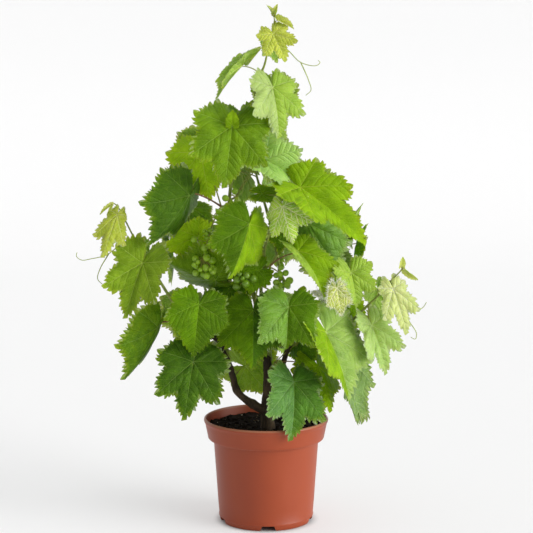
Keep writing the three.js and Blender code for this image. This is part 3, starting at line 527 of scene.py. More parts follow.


# halves holds the (upper, under) materials of the + half, then those of the other half; two different tints
# on the halves are painted light and shade
def bladeMesh(one, chance, halves):
    length = one["length"]
    right, left = halfColumns(one, chance), halfColumns(one, chance)
    heartEnd = np.array([0, -0.02 * length])
    columns = right + [(180, heartEnd, heartEnd)]
    columns += [(-d, p * (-1, 1), q * (-1, 1)) for d, p, q in reversed(left[1:])]
    degrees, smooth, toothed = (np.array([column[k] for column in columns], float) for k in (0, 1, 2))
    count = len(columns)
    here = np.arange(count)
    following = (here + 1) % count

    # the blade's relief: it swells between the main veins, waves at its edge and sags towards it
    marks = np.array(mainVeins + (180,), float)
    sector = np.clip(np.searchsorted(marks, np.abs(degrees), side="right") - 1, 0, 2)
    swell = np.sin(math.pi * (np.abs(degrees) - marks[sector]) / (marks[sector + 1] - marks[sector]))
    onVein = np.isin(np.abs(degrees), mainVeins)
    turn = np.radians(degrees)
    phases = [chance.uniform(0, 6.28) for _ in range(4)]
    wave = sum(size * np.sin(number * turn + phase)
               for size, number, phase in zip((1, 0.7, 0.45), (2, 5, 11), phases))
    sag = bladeLook["sag"] + bladeLook["sagSpread"] * chance.random()
    swollen, wavy, sunken = bladeLook["relief"]

    def ring(rho, under):
        height = swollen * swell * math.sin(math.pi * rho ** 0.8) + wavy * rho ** 2 * wave - sag * rho ** 3
        height = length * (height - onVein * sunken * (1 - 0.6 * rho))
        if under:
            rib = bladeLook["rib"] * (length / bladeLook["grownLength"]) * (1 - 0.8 * rho)
            height = height - bladeLook["thickness"] - onVein * rib
        return (toothed if rho == 1.0 else smooth) * rho, height

    layers = [(rho, False) for rho in bladeLook["rings"]] + [(rho, True) for rho in bladeLook["underRings"]]
    places, heights = zip(*[ring(rho, under) for rho, under in layers])
    flat = np.vstack([(0, 0), *places, (0, 0)])
    height = np.concatenate([[0], *heights, [-bladeLook["thickness"] - 0.8]])
    points = bladePoints(one, flat[:, 0], flat[:, 1], height)

    # strips of faces, one for each column: between the rings and around the heart, above and below
    starts = [1 + k * count for k in range(len(layers))]
    upper, lower = starts[:len(bladeLook["rings"])], starts[len(bladeLook["rings"]):]
    bands = [(a, b, False) for a, b in itertools.pairwise(upper)]
    bands += [(a, b, True) for a, b in itertools.pairwise(lower + upper[-1:])]
    strips = [([a + here, a + following, b + following, b + here], under) for a, b, under in bands]
    for centre, start, under in ((0, upper[0], False), (len(flat) - 1, lower[0], True)):
        strips.append(([np.full(count, centre), start + here, start + following], under))

    # the vein that each column of faces belongs to, for the map that the veins are drawn by
    middle = (np.abs(degrees) + np.abs(degrees[following])) / 2
    middle = np.where(np.abs(degrees[following] + degrees) < 1e-6, 180, middle)
    sectorOf = np.clip(np.searchsorted(marks, middle, side="right") - 1, 0, 2)
    halfway = (middle - marks[sectorOf]) / (marks[sectorOf + 1] - marks[sectorOf]) > 0.5
    signs = np.where(degrees + degrees[following] < 0, -1, 1)
    angles = lobed(one, marks[np.minimum(sectorOf + halfway, 2)])[0]
    direction = np.stack([np.sin(angles) * one["wide"] * signs, np.cos(angles)], 1)
    direction /= np.linalg.norm(direction, axis=1)[:, None]
    sideMaterials = [[halves[0 if sign > 0 else 1][under] for sign in signs] for under in (0, 1)]

    def veinCoordinates(index):
        p = flat[index]
        a = (p * direction).sum(1)
        b = (p[:, 0] * direction[:, 1] - p[:, 1] * direction[:, 0]) * signs
        return np.stack([a, b], 1) * (0.9 / length)

    faces, corners, facing = [], [], []
    for strip, under in strips:
        strip = strip[::-1] if under else strip
        faces.extend(np.stack(strip, 1).tolist())
        corners.append(np.stack([veinCoordinates(index) for index in strip], 1).reshape(-1, 2))
        facing.extend(sideMaterials[under])
    return points, faces, facing, np.concatenate(corners)


# Grape leaf: waxy above, matt with raised veins below
# tint: base, darker patches, veins, roughness, gloss, then the main veins' width and strength
# and the side veins' width and strength
tints = {
    "young": ("c8d068", "a0b03c", "e8eeb0", 0.5, 0.25, 1.1, 0.7, 1.3, 0.7),
    "lime": ("b8c24a", "98a42c", "e0e898", 0.5, 0.25, 0.9, 0.6, 1.1, 0.6),
    "cream": ("ccd68c", "b0c068", "ecf0cc", 0.5, 0.35, 0.8, 0.6, 1.0, 0.5),
    "pale": ("a2c064", "86a44a", "d2e2a4", 0.46, 0.4, 0.7, 0.5, 0.9, 0.5),
    "light": ("9cb45e", "88a24a", "ccd8a4", 0.4, 0.5, 0.7, 0.5, 0.9, 0.5),
    # partly painted light: made lighter to make up for the shade that falls on its leaves
    "bright": ("a8d214", "88b208", "cce05c", 0.46, 0.2, 0.7, 0.5, 0.9, 0.5),
    # partly painted sheen: pale to stand in for the gloss on its leaf
    "satin": ("9cc45c", "80ac44", "c8dc98", 0.4, 0.45, 0.7, 0.5, 0.9, 0.5),
    "fresh": ("7ea404", "648800", "b4cc48", 0.46, 0.2, 0.7, 0.55, 0.9, 0.5),
    "mid": ("648604", "4c6c00", "98b44c", 0.46, 0.25, 0.7, 0.55, 0.9, 0.5),
    "grass": ("5c8400", "446800", "90b03c", 0.46, 0.2, 0.7, 0.55, 0.9, 0.5),
    "leafy": ("507600", "3a5c00", "8ca844", 0.46, 0.2, 0.7, 0.55, 0.9, 0.5),
    "glossy": ("68941e", "4e760e", "9cbc60", 0.36, 0.5, 0.7, 0.5, 0.9, 0.4),
    "teal": ("568534", "3e6a22", "8cb06c", 0.4, 0.4, 0.7, 0.55, 0.9, 0.5),
    "deep": ("54760e", "3c5c06", "88a848", 0.44, 0.25, 0.7, 0.6, 0.9, 0.5),
    "dark": ("385a08", "244204", "7c9848", 0.44, 0.25, 0.65, 0.6, 0.8, 0.5),
    "shade": ("3e640a", "2a4a06", "6c8836", 0.46, 0.2, 0.65, 0.5, 0.8, 0.4),
    "spring": ("90b02e", "749614", "c8dc84", 0.42, 0.4, 0.7, 0.5, 0.9, 0.5),
    "frosty": ("e0e4c8", "c4cca6", "fcfcf0", 0.8, 0.1, 1.3, 1.0, 2.8, 1.0),
    "sunny": ("76921c", "5c7808", "aec25c", 0.46, 0.25, 0.7, 0.55, 0.9, 0.5),
    # painted sheen: pale to stand in for the gloss on its half of a leaf
    "sheen": ("8eae46", "709230", "bcd08c", 0.38, 0.5, 0.7, 0.5, 0.9, 0.5),
    "cool": ("42701a", "305410", "80a454", 0.42, 0.3, 0.7, 0.55, 0.9, 0.5),
    "bluish": ("385818", "2c4810", "7c9850", 0.46, 0.3, 0.7, 0.5, 0.9, 0.5),
    # partly painted light: made brighter to make up for the shade that its leaf lies in
    "woolly": ("bcec10", "8cc002", "f6ffc0", 0.6, 0.1, 1.3, 1.0, 2.6, 1.0),
    "downy": ("bccc4c", "94a432", "f4f6c0", 0.7, 0.1, 1.3, 1.0, 2.8, 1.0),
}
# On the vein map 0.01 is 1 mm of a 90 mm blade. Main veins are about 1.5 mm wide at the heart and 0.4 mm at
# the tip, so that they show at this size, and side veins leave them every 12 mm or so at about 45 degrees.
leafLook = {
    "mainWidth": (0.013, 0.0035), "sideSpacing": 0.125, "sideSlant": -0.95, "otherSide": 0.43, "drift": 2.4,
    "quilting": {"net": 1.8, "patches": 1.4, "sunkVein": -0.6, "raisedVein": 1.0},
    "patches": 45.0,  # about 20 mm each
    "net": 380.0,  # meshes of about 2.5 mm
    "underTone": ("a9c088", "93ad70", "dbe3b8"), "ior": 1.45,
    "tintOfShine": {"matt": (0.7, 1.0, 0.3, 1.0), "glossy": (0.85, 1.0, 0.7, 1.0)},
    # light that falls on the back of a blade comes through it yellow-green
    "through": 0.35, "throughReach": (0.0022, 0.003, 0.0006),
}


def leafMaterial(name, base, dark, vein, roughness, gloss, broad, clear, sideBroad, sideClear, under):
    material, tree, shader, place = newMaterial(name)

    # adds patterns to a first one, each with its weight
    def weighted(total, *terms):
        for pattern, weight in terms:
            total = addNode(tree, "Math", [pattern, weight, total], operation="MULTIPLY_ADD")[0]
        return total

    uv = addNode(tree, "UVMap", uv_map="veinMap")[0]
    lengthwise, across = addNode(tree, "SeparateXYZ", [uv])[:2]
    aside = addNode(tree, "Math", [across], operation="ABSOLUTE")[0]
    heartWidth, tipWidth = leafLook["mainWidth"]
    width = addNode(tree, "MapRange", [lengthwise, 0.0, 0.9, heartWidth * broad, tipWidth * broad])[0]
    share = addNode(tree, "Math", [aside, width], operation="DIVIDE")[0]
    main = addNode(tree, "MapRange", [share, 0.3, 1.1, 1.0, 0.0], interpolation_type="SMOOTHSTEP")[0]

    # side veins, a little uneven and not opposite each other
    drift = addNode(tree, "TexNoise", {"Vector": place, "Scale": 14.0})[0]
    other = addNode(tree, "Math", [across, 0.0], operation="GREATER_THAN")[0]
    slant = weighted(lengthwise, (aside, leafLook["sideSlant"]))
    spaced = addNode(tree, "Math", [slant, leafLook["sideSpacing"]], operation="DIVIDE")[0]
    phase = weighted(spaced, (other, leafLook["otherSide"]), (drift, leafLook["drift"]))
    wrapped = addNode(tree, "Math", [phase, 0.5], operation="PINGPONG")[0]
    sideVein = addNode(tree, "MapRange", [wrapped, 0.006 * sideBroad, 0.05 * sideBroad, 1.0, 0.0],
                       interpolation_type="SMOOTHSTEP")[0]
    fade = addNode(tree, "MapRange", [aside, 0.04, 0.4, sideClear, 0.5 * sideClear])[0]
    sideMask = addNode(tree, "Math", [sideVein, fade], operation="MULTIPLY")[0]
    veins = addNode(tree, "Math", [main, sideMask], operation="MAXIMUM")[0]

    # colours: patches, then the fine net, then the veins
    blotches = {"Vector": place, "Scale": leafLook["patches"], "Detail": 3.0}
    patches, ground = mottled(tree, blotches, (0.35, 0.65), base, dark)
    net = addNode(tree, "TexVoronoi", {"Vector": place, "Scale": leafLook["net"]},
                  feature="DISTANCE_TO_EDGE")[0]
    netMask = addNode(tree, "MapRange", [net, 0.0, 0.12, 0.25 * sideBroad, 0.0])[0]
    netted = addNode(tree, "Mix", {0: netMask, 6: ground, 7: vein}, data_type="RGBA")[2]
    clear = min(1, clear + 0.25) if under else clear
    strength = addNode(tree, "Math", [veins, clear], operation="MULTIPLY")[0]
    painted = addNode(tree, "Mix", {0: strength, 6: netted, 7: vein}, data_type="RGBA")[2]

    # relief: the blade swells a little between side veins, and the veins are sunken above, raised below
    pillow = addNode(tree, "MapRange", [wrapped, 0.0, 0.3, 0.0, 1.1], interpolation_type="SMOOTHSTEP")[0]
    quilting = leafLook["quilting"]
    height = weighted(pillow, (net, quilting["net"]), (patches, quilting["patches"]),
                      (main, quilting["raisedVein" if under else "sunkVein"]))
    bump = 0.6 if under else 0.55
    relief = addNode(tree, "Bump", {"Strength": bump, "Distance": 0.0014, "Height": height})[0]
    feed(tree, shader, {
        "Base Color": painted, "Normal": relief, "Roughness": roughness + (0.2 if under else 0),
        "IOR": leafLook["ior"], "Specular IOR Level": gloss * (0.4 if under else 1),
        "Specular Tint": leafLook["tintOfShine"]["matt" if gloss < 0.4 else "glossy"],
        "Subsurface Weight": leafLook["through"], "Subsurface Radius": leafLook["throughReach"],
        "Subsurface Scale": 1.0})
    return material


# The colour halfway between two
def betweenHex(a, b):
    return "".join(f"{round((int(a[i:i + 2], 16) + int(b[i:i + 2], 16)) / 2):02x}" for i in (0, 2, 4))


leafMaterials = []
tintSlots = {}  # the (upper, under) materials' numbers
for name, (base, dark, vein, *finish) in tints.items():
    tintSlots[name] = (len(leafMaterials), len(leafMaterials) + 1)
    paler = [betweenHex(*pair) for pair in zip((base, dark, vein), leafLook["underTone"])]
    leafMaterials.append(leafMaterial("grapeLeaf" + name.capitalize(), base, dark, vein, *finish, False))
    leafMaterials.append(leafMaterial("grapeLeafUnder" + name.capitalize(), *paler, *finish, True))
print("leaf materials:", len(leafMaterials))

# Five leaves differ a little from their solids: the first hangs with its back to the front, the next is
# seen nearly edge-on, and the others have smaller base lobes or lie more open
for name, n, change in (
        ("right_low", 1, {"roll": 122, "blunt": 0.3, "base": 0.5}),
        ("top", 4, {"roll": 83, "fold": 20}),
        ("left_spray", 1, {"base": 0.5}),
        ("upper_front", 1, {"fold": 14, "wide": 0.95}),
        ("right_upper", 2, {"wide": 0.7, "base": 0.62})):
    masses["leaves_" + name]["leaves"][n].update(change)
draw = seeded(backRule["seed"])
for mass in backMasses.values():
    mass["leaves"] = [ruleLeaf(mass, n, draw) for n in range(backRule["count"])]
    mass["radii"] = [1.9, 1.3]
backMasses["leaves_back_middle"]["leaves"].pop(2)  # it would touch the mass above
allMasses = {**masses, **backMasses}
leafGroups = {
    "leavesUpper": "top upper_front upper_back upper_left upper_right",
    "leavesMiddle": "centre_front centre right_middle centre_low left_middle left_spray left_low",
    "leavesLower": "left_bottom low_back low_right right_low right_upper right_spray",
    "leavesBack": "back_top back_middle back_left back_right back_low",
}
for groupName, massNames in leafGroups.items():
    names = ["leaves_" + name for name in massNames.split()]
    parts = []
    for name in names:
        for n, one in enumerate(allMasses[name]["leaves"]):
            # a tint such as "leafy/fresh" gives each half its own colour, painted light and shade, as each
            # half catches the light its own way
            halves = [tintSlots[tint] for tint in (one["tint"] + "/" + one["tint"]).split("/")[:2]]
            parts.append(bladeMesh(one, random.Random(f"{name}{n}"), halves))
    group = joinedPiece(groupName, parts, leafMaterials, 55)
    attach(group, "root")
    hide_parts(*names)

# Green bark is smooth, with fine lengthwise streaks and a satin wax; old bark is matt and fibrous.
# Each kind has its colour, its dark and its light, its roughness, the streaks' scale and the relief's depth
twigLook = {
    "greenWood": ("8c9a34", "66742a", "a8b054", 0.5, 500.0, 0.0008),
    "petiole": ("98a040", "80822e", "b4b05c", 0.5, 500.0, 0.0008),
    "redPetiole": ("84582e", "643f22", "9a7c44", 0.5, 500.0, 0.0008),
    "tendril": ("9cac44", "84923a", "b4c064", 0.5, 500.0, 0.0008),
    "bark": ("402f1b", "19120a", "66533a", 0.85, 350.0, 0.0025),
}


def stemMaterial(name, base, dark, light, roughness, scale, depth):
    material, tree, shader, place = newMaterial(name)
    stretched = addNode(tree, "Mapping", {"Vector": place, "Scale": (1, 1, 0.22)})[0]
    streaks, lower = mottled(tree, {"Vector": stretched, "Scale": scale, "Detail": 4.0, "Roughness": 0.6},
                             (0.36, 0.64), dark, base)
    upper = mottled(tree, {"Vector": place, "Scale": 30.0}, (0.5, 0.75), lower, light, most=0.7)[1]
    relief = addNode(tree, "Bump", {"Strength": 0.6, "Distance": depth, "Height": streaks})[0]
    feed(tree, shader, {"Base Color": upper, "Normal": relief, "Roughness": roughness})
    return material


# The place where a stalk meets its blade is reached from behind, in one bow
def petioleRoute(one, node):
    tipward, up = bladeAxes(one)[1:]
    end = bladePoints(one, 0, 0.05 * one["length"], 0.0)
    span = np.linalg.norm(end - node)
    behind = one["heart"] - 0.32 * span * up - 0.12 * span * tipward
    out = node + 0.45 * (behind - node) + np.array([0, 0, 0.1 * span])
    root = node - stalkLook["root"] * unit(out - node)
    t = np.linspace(0, 1, 15)[:, None]
    return (1 - t) ** 3 * root + 3 * (1 - t) ** 2 * t * out + 3 * (1 - t) * t ** 2 * behind + t ** 3 * end


# Shoots, petioles and tendrils
twigMaterials = [stemMaterial(kind, *look) for kind, look in twigLook.items()]
twigSlot = {kind: i for i, kind in enumerate(twigLook)}
redStalks = {("leaves_upper_left", 1), ("leaves_centre", 0), ("leaves_right_middle", 0), ("leaves_top", 5),
             ("leaves_left_low", 1), ("leaves_right_low", 0), ("leaves_low_right", 1)}
twigParts, tendrilParts = [], []
for name, mass in allMasses.items():
    stem = rooted(mass["stem"], max(8, len(mass["stem"]) * 8), stalkLook["foot"])
    thick, thin = mass["radii"]
    twigParts.append(tube(stem, lambda f: thick + (thin - thick) * f + 0.25 * math.exp(-f * 12), 10,
                          twigSlot["greenWood"]))
    for n, one in enumerate(mass["leaves"]):
        node = one["node"] if "node" in one else stemNode(one, mass["stem"])
        radius = max(0.6, one["length"] / 72)
        kind = "redPetiole" if (name, n) in redStalks else "petiole"
        twigParts.append(tube(petioleRoute(one, node),
                              lambda f: radius * (1 - 0.2 * f + 0.5 * math.exp(-f * 14) - 0.25 * f ** 8), 8,
                              twigSlot[kind]))
    for route in mass.get("tendrils", []):
        tendrilParts.append(tube(along(route, 12 * (len(route) - 1)), lambda f: 0.95 - 0.4 * f, 7,
                                 twigSlot["tendril"]))
for name, parts in (("shootsAndPetioles", twigParts), ("tendrils", tendrilParts)):
    piece = joinedPiece(name, parts, twigMaterials)
    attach(piece, "root")

# White down: short dull hairs on the woolly young leaf and its bud
downLook = {"hairs": {2: 190, 3: 130}, "length": (3.5, 7.5), "thick": 0.3, "colours": ("dcdcc0", "f6f6ec"),
            "seed": 33}
downMaterial, tree, shader, place = newMaterial("whiteLeafDown")
tone = mottled(tree, {"Vector": place, "Scale": 400.0}, (0.0, 1.0), *downLook["colours"])[1]
feed(tree, shader, {"Base Color": tone, "Roughness": 0.9, "Sheen Weight": 0.4})
chance = random.Random(downLook["seed"])


def spread(least, most):
    return np.array([chance.uniform(least, most) for _ in range(3)])


downParts = []
for n, count in downLook["hairs"].items():
    one = masses["leaves_right_upper"]["leaves"][n]
    side, tipward, up = bladeAxes(one)
    for _ in range(count):
        degrees = chance.uniform(-170, 170)
        angle, stretch = lobed(one, abs(degrees))
        reach = np.interp(abs(degrees), plainOutline[:, 0], plainOutline[:, 1]) * one["length"] * stretch
        reach *= chance.choice((0.97, 0.97, chance.uniform(0.2, 0.9)))  # two of three at the edge
        s, t = reach * math.sin(angle) * one["wide"] * (1 if degrees > 0 else -1), reach * math.cos(angle)
        foot = bladePoints(one, s, t, -0.3)
        away = side * s + tipward * t
        lead = unit(away / (np.linalg.norm(away) + 1e-6) + 0.5 * up + spread(-0.5, 0.5))
        length = chance.uniform(*downLook["length"])
        curl = spread(-1, 1) * 0.25 * length
        downParts.append(tube([foot, foot + lead * length * 0.5, foot + lead * length + curl],
                              lambda f: downLook["thick"] * (1 - 0.6 * f), 4, 0))
down = joinedPiece("leafDown", downParts, [downMaterial])
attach(down, "root")

# Fruit: skin, its darker patches and its bloom; the bunch low in the middle gets the darker tint, a painted
# shade, and the other bunches get the lighter one, a painted light
berryLook = {"tints": {"light": ("a4cc1c", "6c9608", "b0c864"), "dark": ("749c10", "466a04", "88a040")},
             "bloomPatch": 160.0, "paintedShadeBunch": "leaves_centre_low", "rows": 9, "around": 14,
             "half": 1.06, "end": 1.03,  # a berry's half length and its free end, against its radius
             "more": 1.1,  # small berries for each large one
             "smallRadius": (3.2, 5.2), "tries": 400, "seed": 11}


# A berry, a little longer along the way it hangs
def berryMesh(centre, radius, down, slot):
    rows, around = berryLook["rows"], berryLook["around"]
    axis = unit(down)
    one = unit(np.cross(axis, (0.2, 1, 0.1)))
    two = np.cross(axis, one)
    points = [centre - axis * radius * berryLook["half"]]
    for i in range(1, rows):
        height, out = -math.cos(math.pi * i / rows) * berryLook["half"], math.sin(math.pi * i / rows)
        for j in range(around):
            turn = 2 * math.pi * j / around
            sideways = math.cos(turn) * one + math.sin(turn) * two
            points.append(centre + radius * (height * axis + out * sideways))
    points.append(centre + axis * radius * berryLook["end"])
    faces = [[0, 1 + (j + 1) % around, 1 + j] for j in range(around)] + ringFaces(1, rows - 2, around)
    end = len(points) - 1
    faces += [[end, end - around + j, end - around + (j + 1) % around] for j in range(around)]
    return points, faces, slot, None


# Unripe grape: a thin clear skin, glossy where its waxy bloom is rubbed off
def berryMaterial(name, base, shade, bloomTint):
    material, tree, shader, place = newMaterial(name)
    skin = mottled(tree, {"Vector": place, "Scale": 60.0}, (0.0, 1.0), shade, base)[1]
    wax = {"Vector": place, "Scale": berryLook["bloomPatch"], "Detail": 3.0}
    bloom = mottled(tree, wax, (0.42, 0.72), skin, bloomTint, most=0.35)[1]
    feed(tree, shader, {"Base Color": bloom, "Roughness": 0.3, "Subsurface Weight": 0.2,
                        "Subsurface Radius": (0.003, 0.004, 0.001)})
    return material


# A bunch's own berries, and small ones between and behind them
def bunch(berries):
    large = len(berries)
    berries = [list(b) for b in berries]
    low, high = (edge(np.array(berries)[:, :3], axis=0) for edge in (np.min, np.max))
    for _ in range(berryLook["tries"]):
        if len(berries) >= large * (1 + berryLook["more"]) or large < 4:
            break
        beside = chance.choice(berries)
        radius = chance.uniform(*berryLook["smallRadius"])
        away = unit(np.array([chance.gauss(0, 1) for _ in range(3)]))
        centre = np.clip(np.array(beside[:3]) + away * (beside[3] + radius) * 0.96, low - 2, high + 2)
        if all(np.linalg.norm(centre - b[:3]) > 0.9 * (radius + b[3]) for b in berries):
            berries.append([*centre, radius])
    return berries


berryMaterials = [berryMaterial("waxyUnripeBerry" + kind.capitalize(), *colours)
                  for kind, colours in berryLook["tints"].items()]
chance = random.Random(berryLook["seed"])
berryParts, pedicelParts = [], []
for name, mass in allMasses.items():
    if "berries" not in mass:
        continue
    rachis = along(mass["peduncle"], 24)
    pedicelParts.append(tube(rachis, lambda f: 1.3 - 0.5 * f, 8, twigSlot["petiole"]))
    for *centre, radius in bunch(mass["berries"]):
        centre = np.array(centre, float)
        near = min(rachis, key=lambda p: np.linalg.norm(p - centre))
        hang = centre - near
        if np.linalg.norm(hang) < 0.5:
            hang = np.array([0, -0.3, -1.0])
        # the darker tint on the bunch low in the middle is painted shade
        berryParts.append(berryMesh(centre, radius, hang, int(name == berryLook["paintedShadeBunch"])))
        pedicelParts.append(tube([near, (near + centre) / 2, centre], lambda f: 0.6 + 0.5 * f ** 3, 7,
                                 twigSlot["petiole"]))
fruit = joinedPiece("unripeBerries", berryParts, berryMaterials, 80)
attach(fruit, "root")
pedicels = joinedPiece("berryStalks", pedicelParts, twigMaterials)
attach(pedicels, "root")
print("berries:", len(berryParts))

# Wood: fissured bark on the trunk and arms, nodes on the green shoots
woodLook = {
    "trunk": {"sides": 48, "step": 1.7, "fissure": 1.3, "flare": 5.5, "nodes": 0},
    "left_arm": {"sides": 32, "step": 1.8, "fissure": 0.8, "flare": 2.0, "nodes": 4},
    "right_cane": {"sides": 24, "step": 1.8, "fissure": 0.45, "flare": 1.6, "nodes": 5},
    "shoot": {"sides": 16, "step": 3, "fissure": 0.12, "flare": 1.0, "nodeEvery": 62},
}
trunkFoot = 149  # mm up, sunk in the compost
shootFoot = 2.0  # mm deep in the limb that carries it


def barkRelief(look, length, seed):
    nodes = look["nodes"] if "nodes" in look else int(length / look["nodeEvery"])

    def relief(travelled, angle, f, r):
        around = Vector((math.cos(angle) * 2.2, math.sin(angle) * 2.2, travelled * 0.035 + seed))
        strips = noise.noise(around * 1.6) * 0.6 + noise.noise(around * 3.7) * 0.4
        deep = -max(0, 0.12 - abs(noise.noise(around * 2.3 + Vector((9, 3, 1))))) * 7
        lumps = noise.noise(Vector((math.cos(angle), math.sin(angle), travelled * 0.09 + seed)))
        value = look["fissure"] * (strips + deep + 0.7 * lumps)
        value += look["flare"] * math.exp(-f * 9) * (1 + 0.3 * math.sin(3 * angle + seed))
        for k in range(nodes):
            centre = (k + 0.7) / (nodes + 0.4)
            value += 0.2 * r * math.exp(-((f - centre) * length / 4.5) ** 2)
        return value
    return relief


for number, (name, (kind, (thick, thin), route)) in enumerate(limbs.items()):
    length = catmullRoute(route)[1]
    look = woodLook.get(name, woodLook["shoot"])
    steps = int(length / look["step"])
    if name == "trunk":
        places = [p for p in along(route, steps) if p[2] > trunkFoot]
    else:
        places = rooted(route, steps, shootFoot)
    wood = joinedPiece(name.replace("_", " ").title().replace(" ", "") + "Wood",
                       [tube(places, lambda f: thick + (thin - thick) * f, look["sides"], 0,
                             barkRelief(look, length, number * 7.3))],
                       [twigMaterials[twigSlot[kind]]], 70)
    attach(wood, "root")
    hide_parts(name)

# Pot: spun from its wall's section, (radius, height) in mm
potLook = {
    "outer": [(71.5, 0), (73.2, 0.4), (74.4, 2.2), (75.2, 5.5), (75.3, 7.0), (76.1, 7.6), (76.5, 9.4),
              (76.3, 11.0), (75.9, 12.0), (77.6, 32), (80.6, 77), (84.3, 130), (84.8, 132.6), (86.4, 134.0),
              (90.4, 134.2), (92.4, 134.8), (93.5, 136.4), (93.9, 138.6), (95.6, 147), (97.6, 157),
              (98.3, 160.2), (99.3, 161.4), (99.95, 163.2), (100, 165), (99.3, 166.7), (98.0, 167.5),
              (96.9, 167.0), (96.4, 165.6)],
    "inner": [(95.8, 161), (91.9, 139), (91.0, 137), (82.8, 135.4), (82.2, 133), (73, 10.8), (0, 10.8)],
    "steps": 144, "weld": 0.02, "sharpAngle": 38,
    # drainage channels under the foot, cut with a tapered wedge: half its width and its height at the top
    # and at the foot, and how far from the axis it starts and ends
    "notches": 5, "firstNotch": -87.5, "notchTop": (9.5, 8.6), "notchFoot": (13.4, -1), "notchSpan": (38, 84),
    "colour": "8d3611", "worn": "983f18", "lip": "a06e50", "lipHeight": (0.164, 0.1658),  # m
    "grain": 900.0,
    "roughness": (0.38, 0.5),
}
section = [(0, 0)] + potLook["outer"] + potLook["inner"]
mesh = bpy.data.meshes.new("nurseryPot")
mesh.from_pydata([(r * mm, 0, z * mm) for r, z in section], [(i, i + 1) for i in range(len(section) - 1)], [])
pot = newPiece("nurseryPot", mesh)
selectOnly(pot)
bpy.ops.object.mode_set(mode="EDIT")
bpy.ops.mesh.select_all(action="SELECT")
bpy.ops.mesh.spin(steps=potLook["steps"], angle=2 * math.pi, center=(0, 0, 0), axis=(0, 0, 1))
bpy.ops.mesh.select_all(action="SELECT")
bpy.ops.mesh.remove_doubles(threshold=potLook["weld"] * mm)
bpy.ops.mesh.normals_make_consistent(inside=False)
bpy.ops.object.mode_set(mode="OBJECT")
for k in range(potLook["notches"]):
    selectOnly(None)
    angle = math.radians(potLook["firstNotch"] + 360 / potLook["notches"] * k)
    bpy.ops.mesh.primitive_cube_add(size=1, location=(0, 0, 0))
    cutter = bpy.context.object
    cutter.name = "channelCutter"
    for v in cutter.data.vertices:
        across, height = potLook["notchTop" if v.co.z > 0 else "notchFoot"]
        v.co = (potLook["notchSpan"][v.co.x > 0] * mm, math.copysign(across, v.co.y) * mm, height * mm)
    cutter.data.transform(Matrix.Rotation(angle, 4, "Z"))
    selectOnly(pot)
    cut = pot.modifiers.new("channel", "BOOLEAN")
    cut.operation = "DIFFERENCE"
    cut.solver = "EXACT"
    cut.object = cutter
    bpy.ops.object.modifier_apply(modifier=cut.name)
    bpy.data.objects.remove(cutter, do_unlink=True)
selectOnly(pot)
bpy.ops.object.shade_smooth_by_angle(angle=math.radians(potLook["sharpAngle"]))

# moulded plastic: faint flow streaks round the wall, fine grain, a paler band along the top of the lip
potMaterial, tree, shader, place = newMaterial("mouldedTerracottaPlastic")
flow = addNode(tree, "Mapping", {"Vector": place, "Scale": (1, 1, 0.35)})[0]
streaks, body = mottled(tree, {"Vector": flow, "Scale": 14.0, "Detail": 4.0}, (0.3, 0.7), potLook["colour"],
                        potLook["worn"])
up = addNode(tree, "SeparateXYZ", [place])[2]
lipMask = addNode(tree, "MapRange", [up, *potLook["lipHeight"], 0.0, 0.7], interpolation_type="SMOOTHSTEP")[0]
withLip = addNode(tree, "Mix", {0: lipMask, 6: body, 7: potLook["lip"]}, data_type="RGBA")[2]
grain = addNode(tree, "TexNoise", {"Vector": place, "Scale": potLook["grain"], "Detail": 2.0})[0]
relief = addNode(tree, "Bump", {"Strength": 0.12, "Distance": 0.0004, "Height": grain})[0]
roughMask = addNode(tree, "MapRange", [streaks, 0.3, 0.7, *potLook["roughness"]])[0]
feed(tree, shader, {"Base Color": withLip, "Normal": relief, "Roughness": roughMask,
                    "Specular IOR Level": 0.45})
pot.data.materials.clear()
pot.data.materials.append(potMaterial)
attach(pot, "root")
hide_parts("pot")
print("pot:", len(pot.data.polygons), "faces")

# Compost: lumpy and dark, with crumbs, a few pale specks, short root fibres and straw
soilLook = {"level": 153.0, "radius": 93.4, "rings": 46, "around": 150, "floor": 141.0, "floorRadius": 90.0,
            "crumbs": 420, "crumbSize": (1.2, 3.6), "specks": 34, "speckSize": (0.6, 1.3), "squash": 0.6,
            "crumbReach": 88, "fibres": 26, "fibreLength": (5, 13), "fibreReach": 80, "seed": 4,
            "lumps": ((0.055, 3.4), (0.14, 2.6), (0.35, 1.4)),  # how close together, and how high in mm
            "mound": 1.2, "moundPlace": (4, -22), "moundSpread": 900}


def soilHeight(x, y):
    p = Vector((x, y, 0))
    rough = sum(noise.noise(p * often) * high for often, high in soilLook["lumps"])
    fromTrunk = (x - soilLook["moundPlace"][0]) ** 2 + (y - soilLook["moundPlace"][1]) ** 2
    mound = soilLook["mound"] * math.exp(-fromTrunk / soilLook["moundSpread"])
    return soilLook["level"] + rough + mound


def polar(r, turn):
    return r * math.cos(turn), r * math.sin(turn)


def soilBody():
    rings, around = soilLook["rings"], soilLook["around"]
    turns = [2 * math.pi * j / around for j in range(around)]
    points = [(0, 0, soilLook["level"])]
    for i in range(1, rings + 1):
        for turn in turns:
            x, y = polar(soilLook["radius"] * i / rings, turn)
            points.append((x, y, soilHeight(x, y)))
    points += [(*polar(soilLook["floorRadius"], turn), soilLook["floor"]) for turn in turns]
    points.append((0, 0, soilLook["floor"]))
    last = len(points) - 1
    faces = [[0, 1 + j, 1 + (j + 1) % around] for j in range(around)]
    faces += [[a, d, c, b] for a, b, c, d in ringFaces(1, rings, around)]
    faces += [[last - around + (j + 1) % around, last - around + j, last] for j in range(around)]
    return points, faces, 0, None


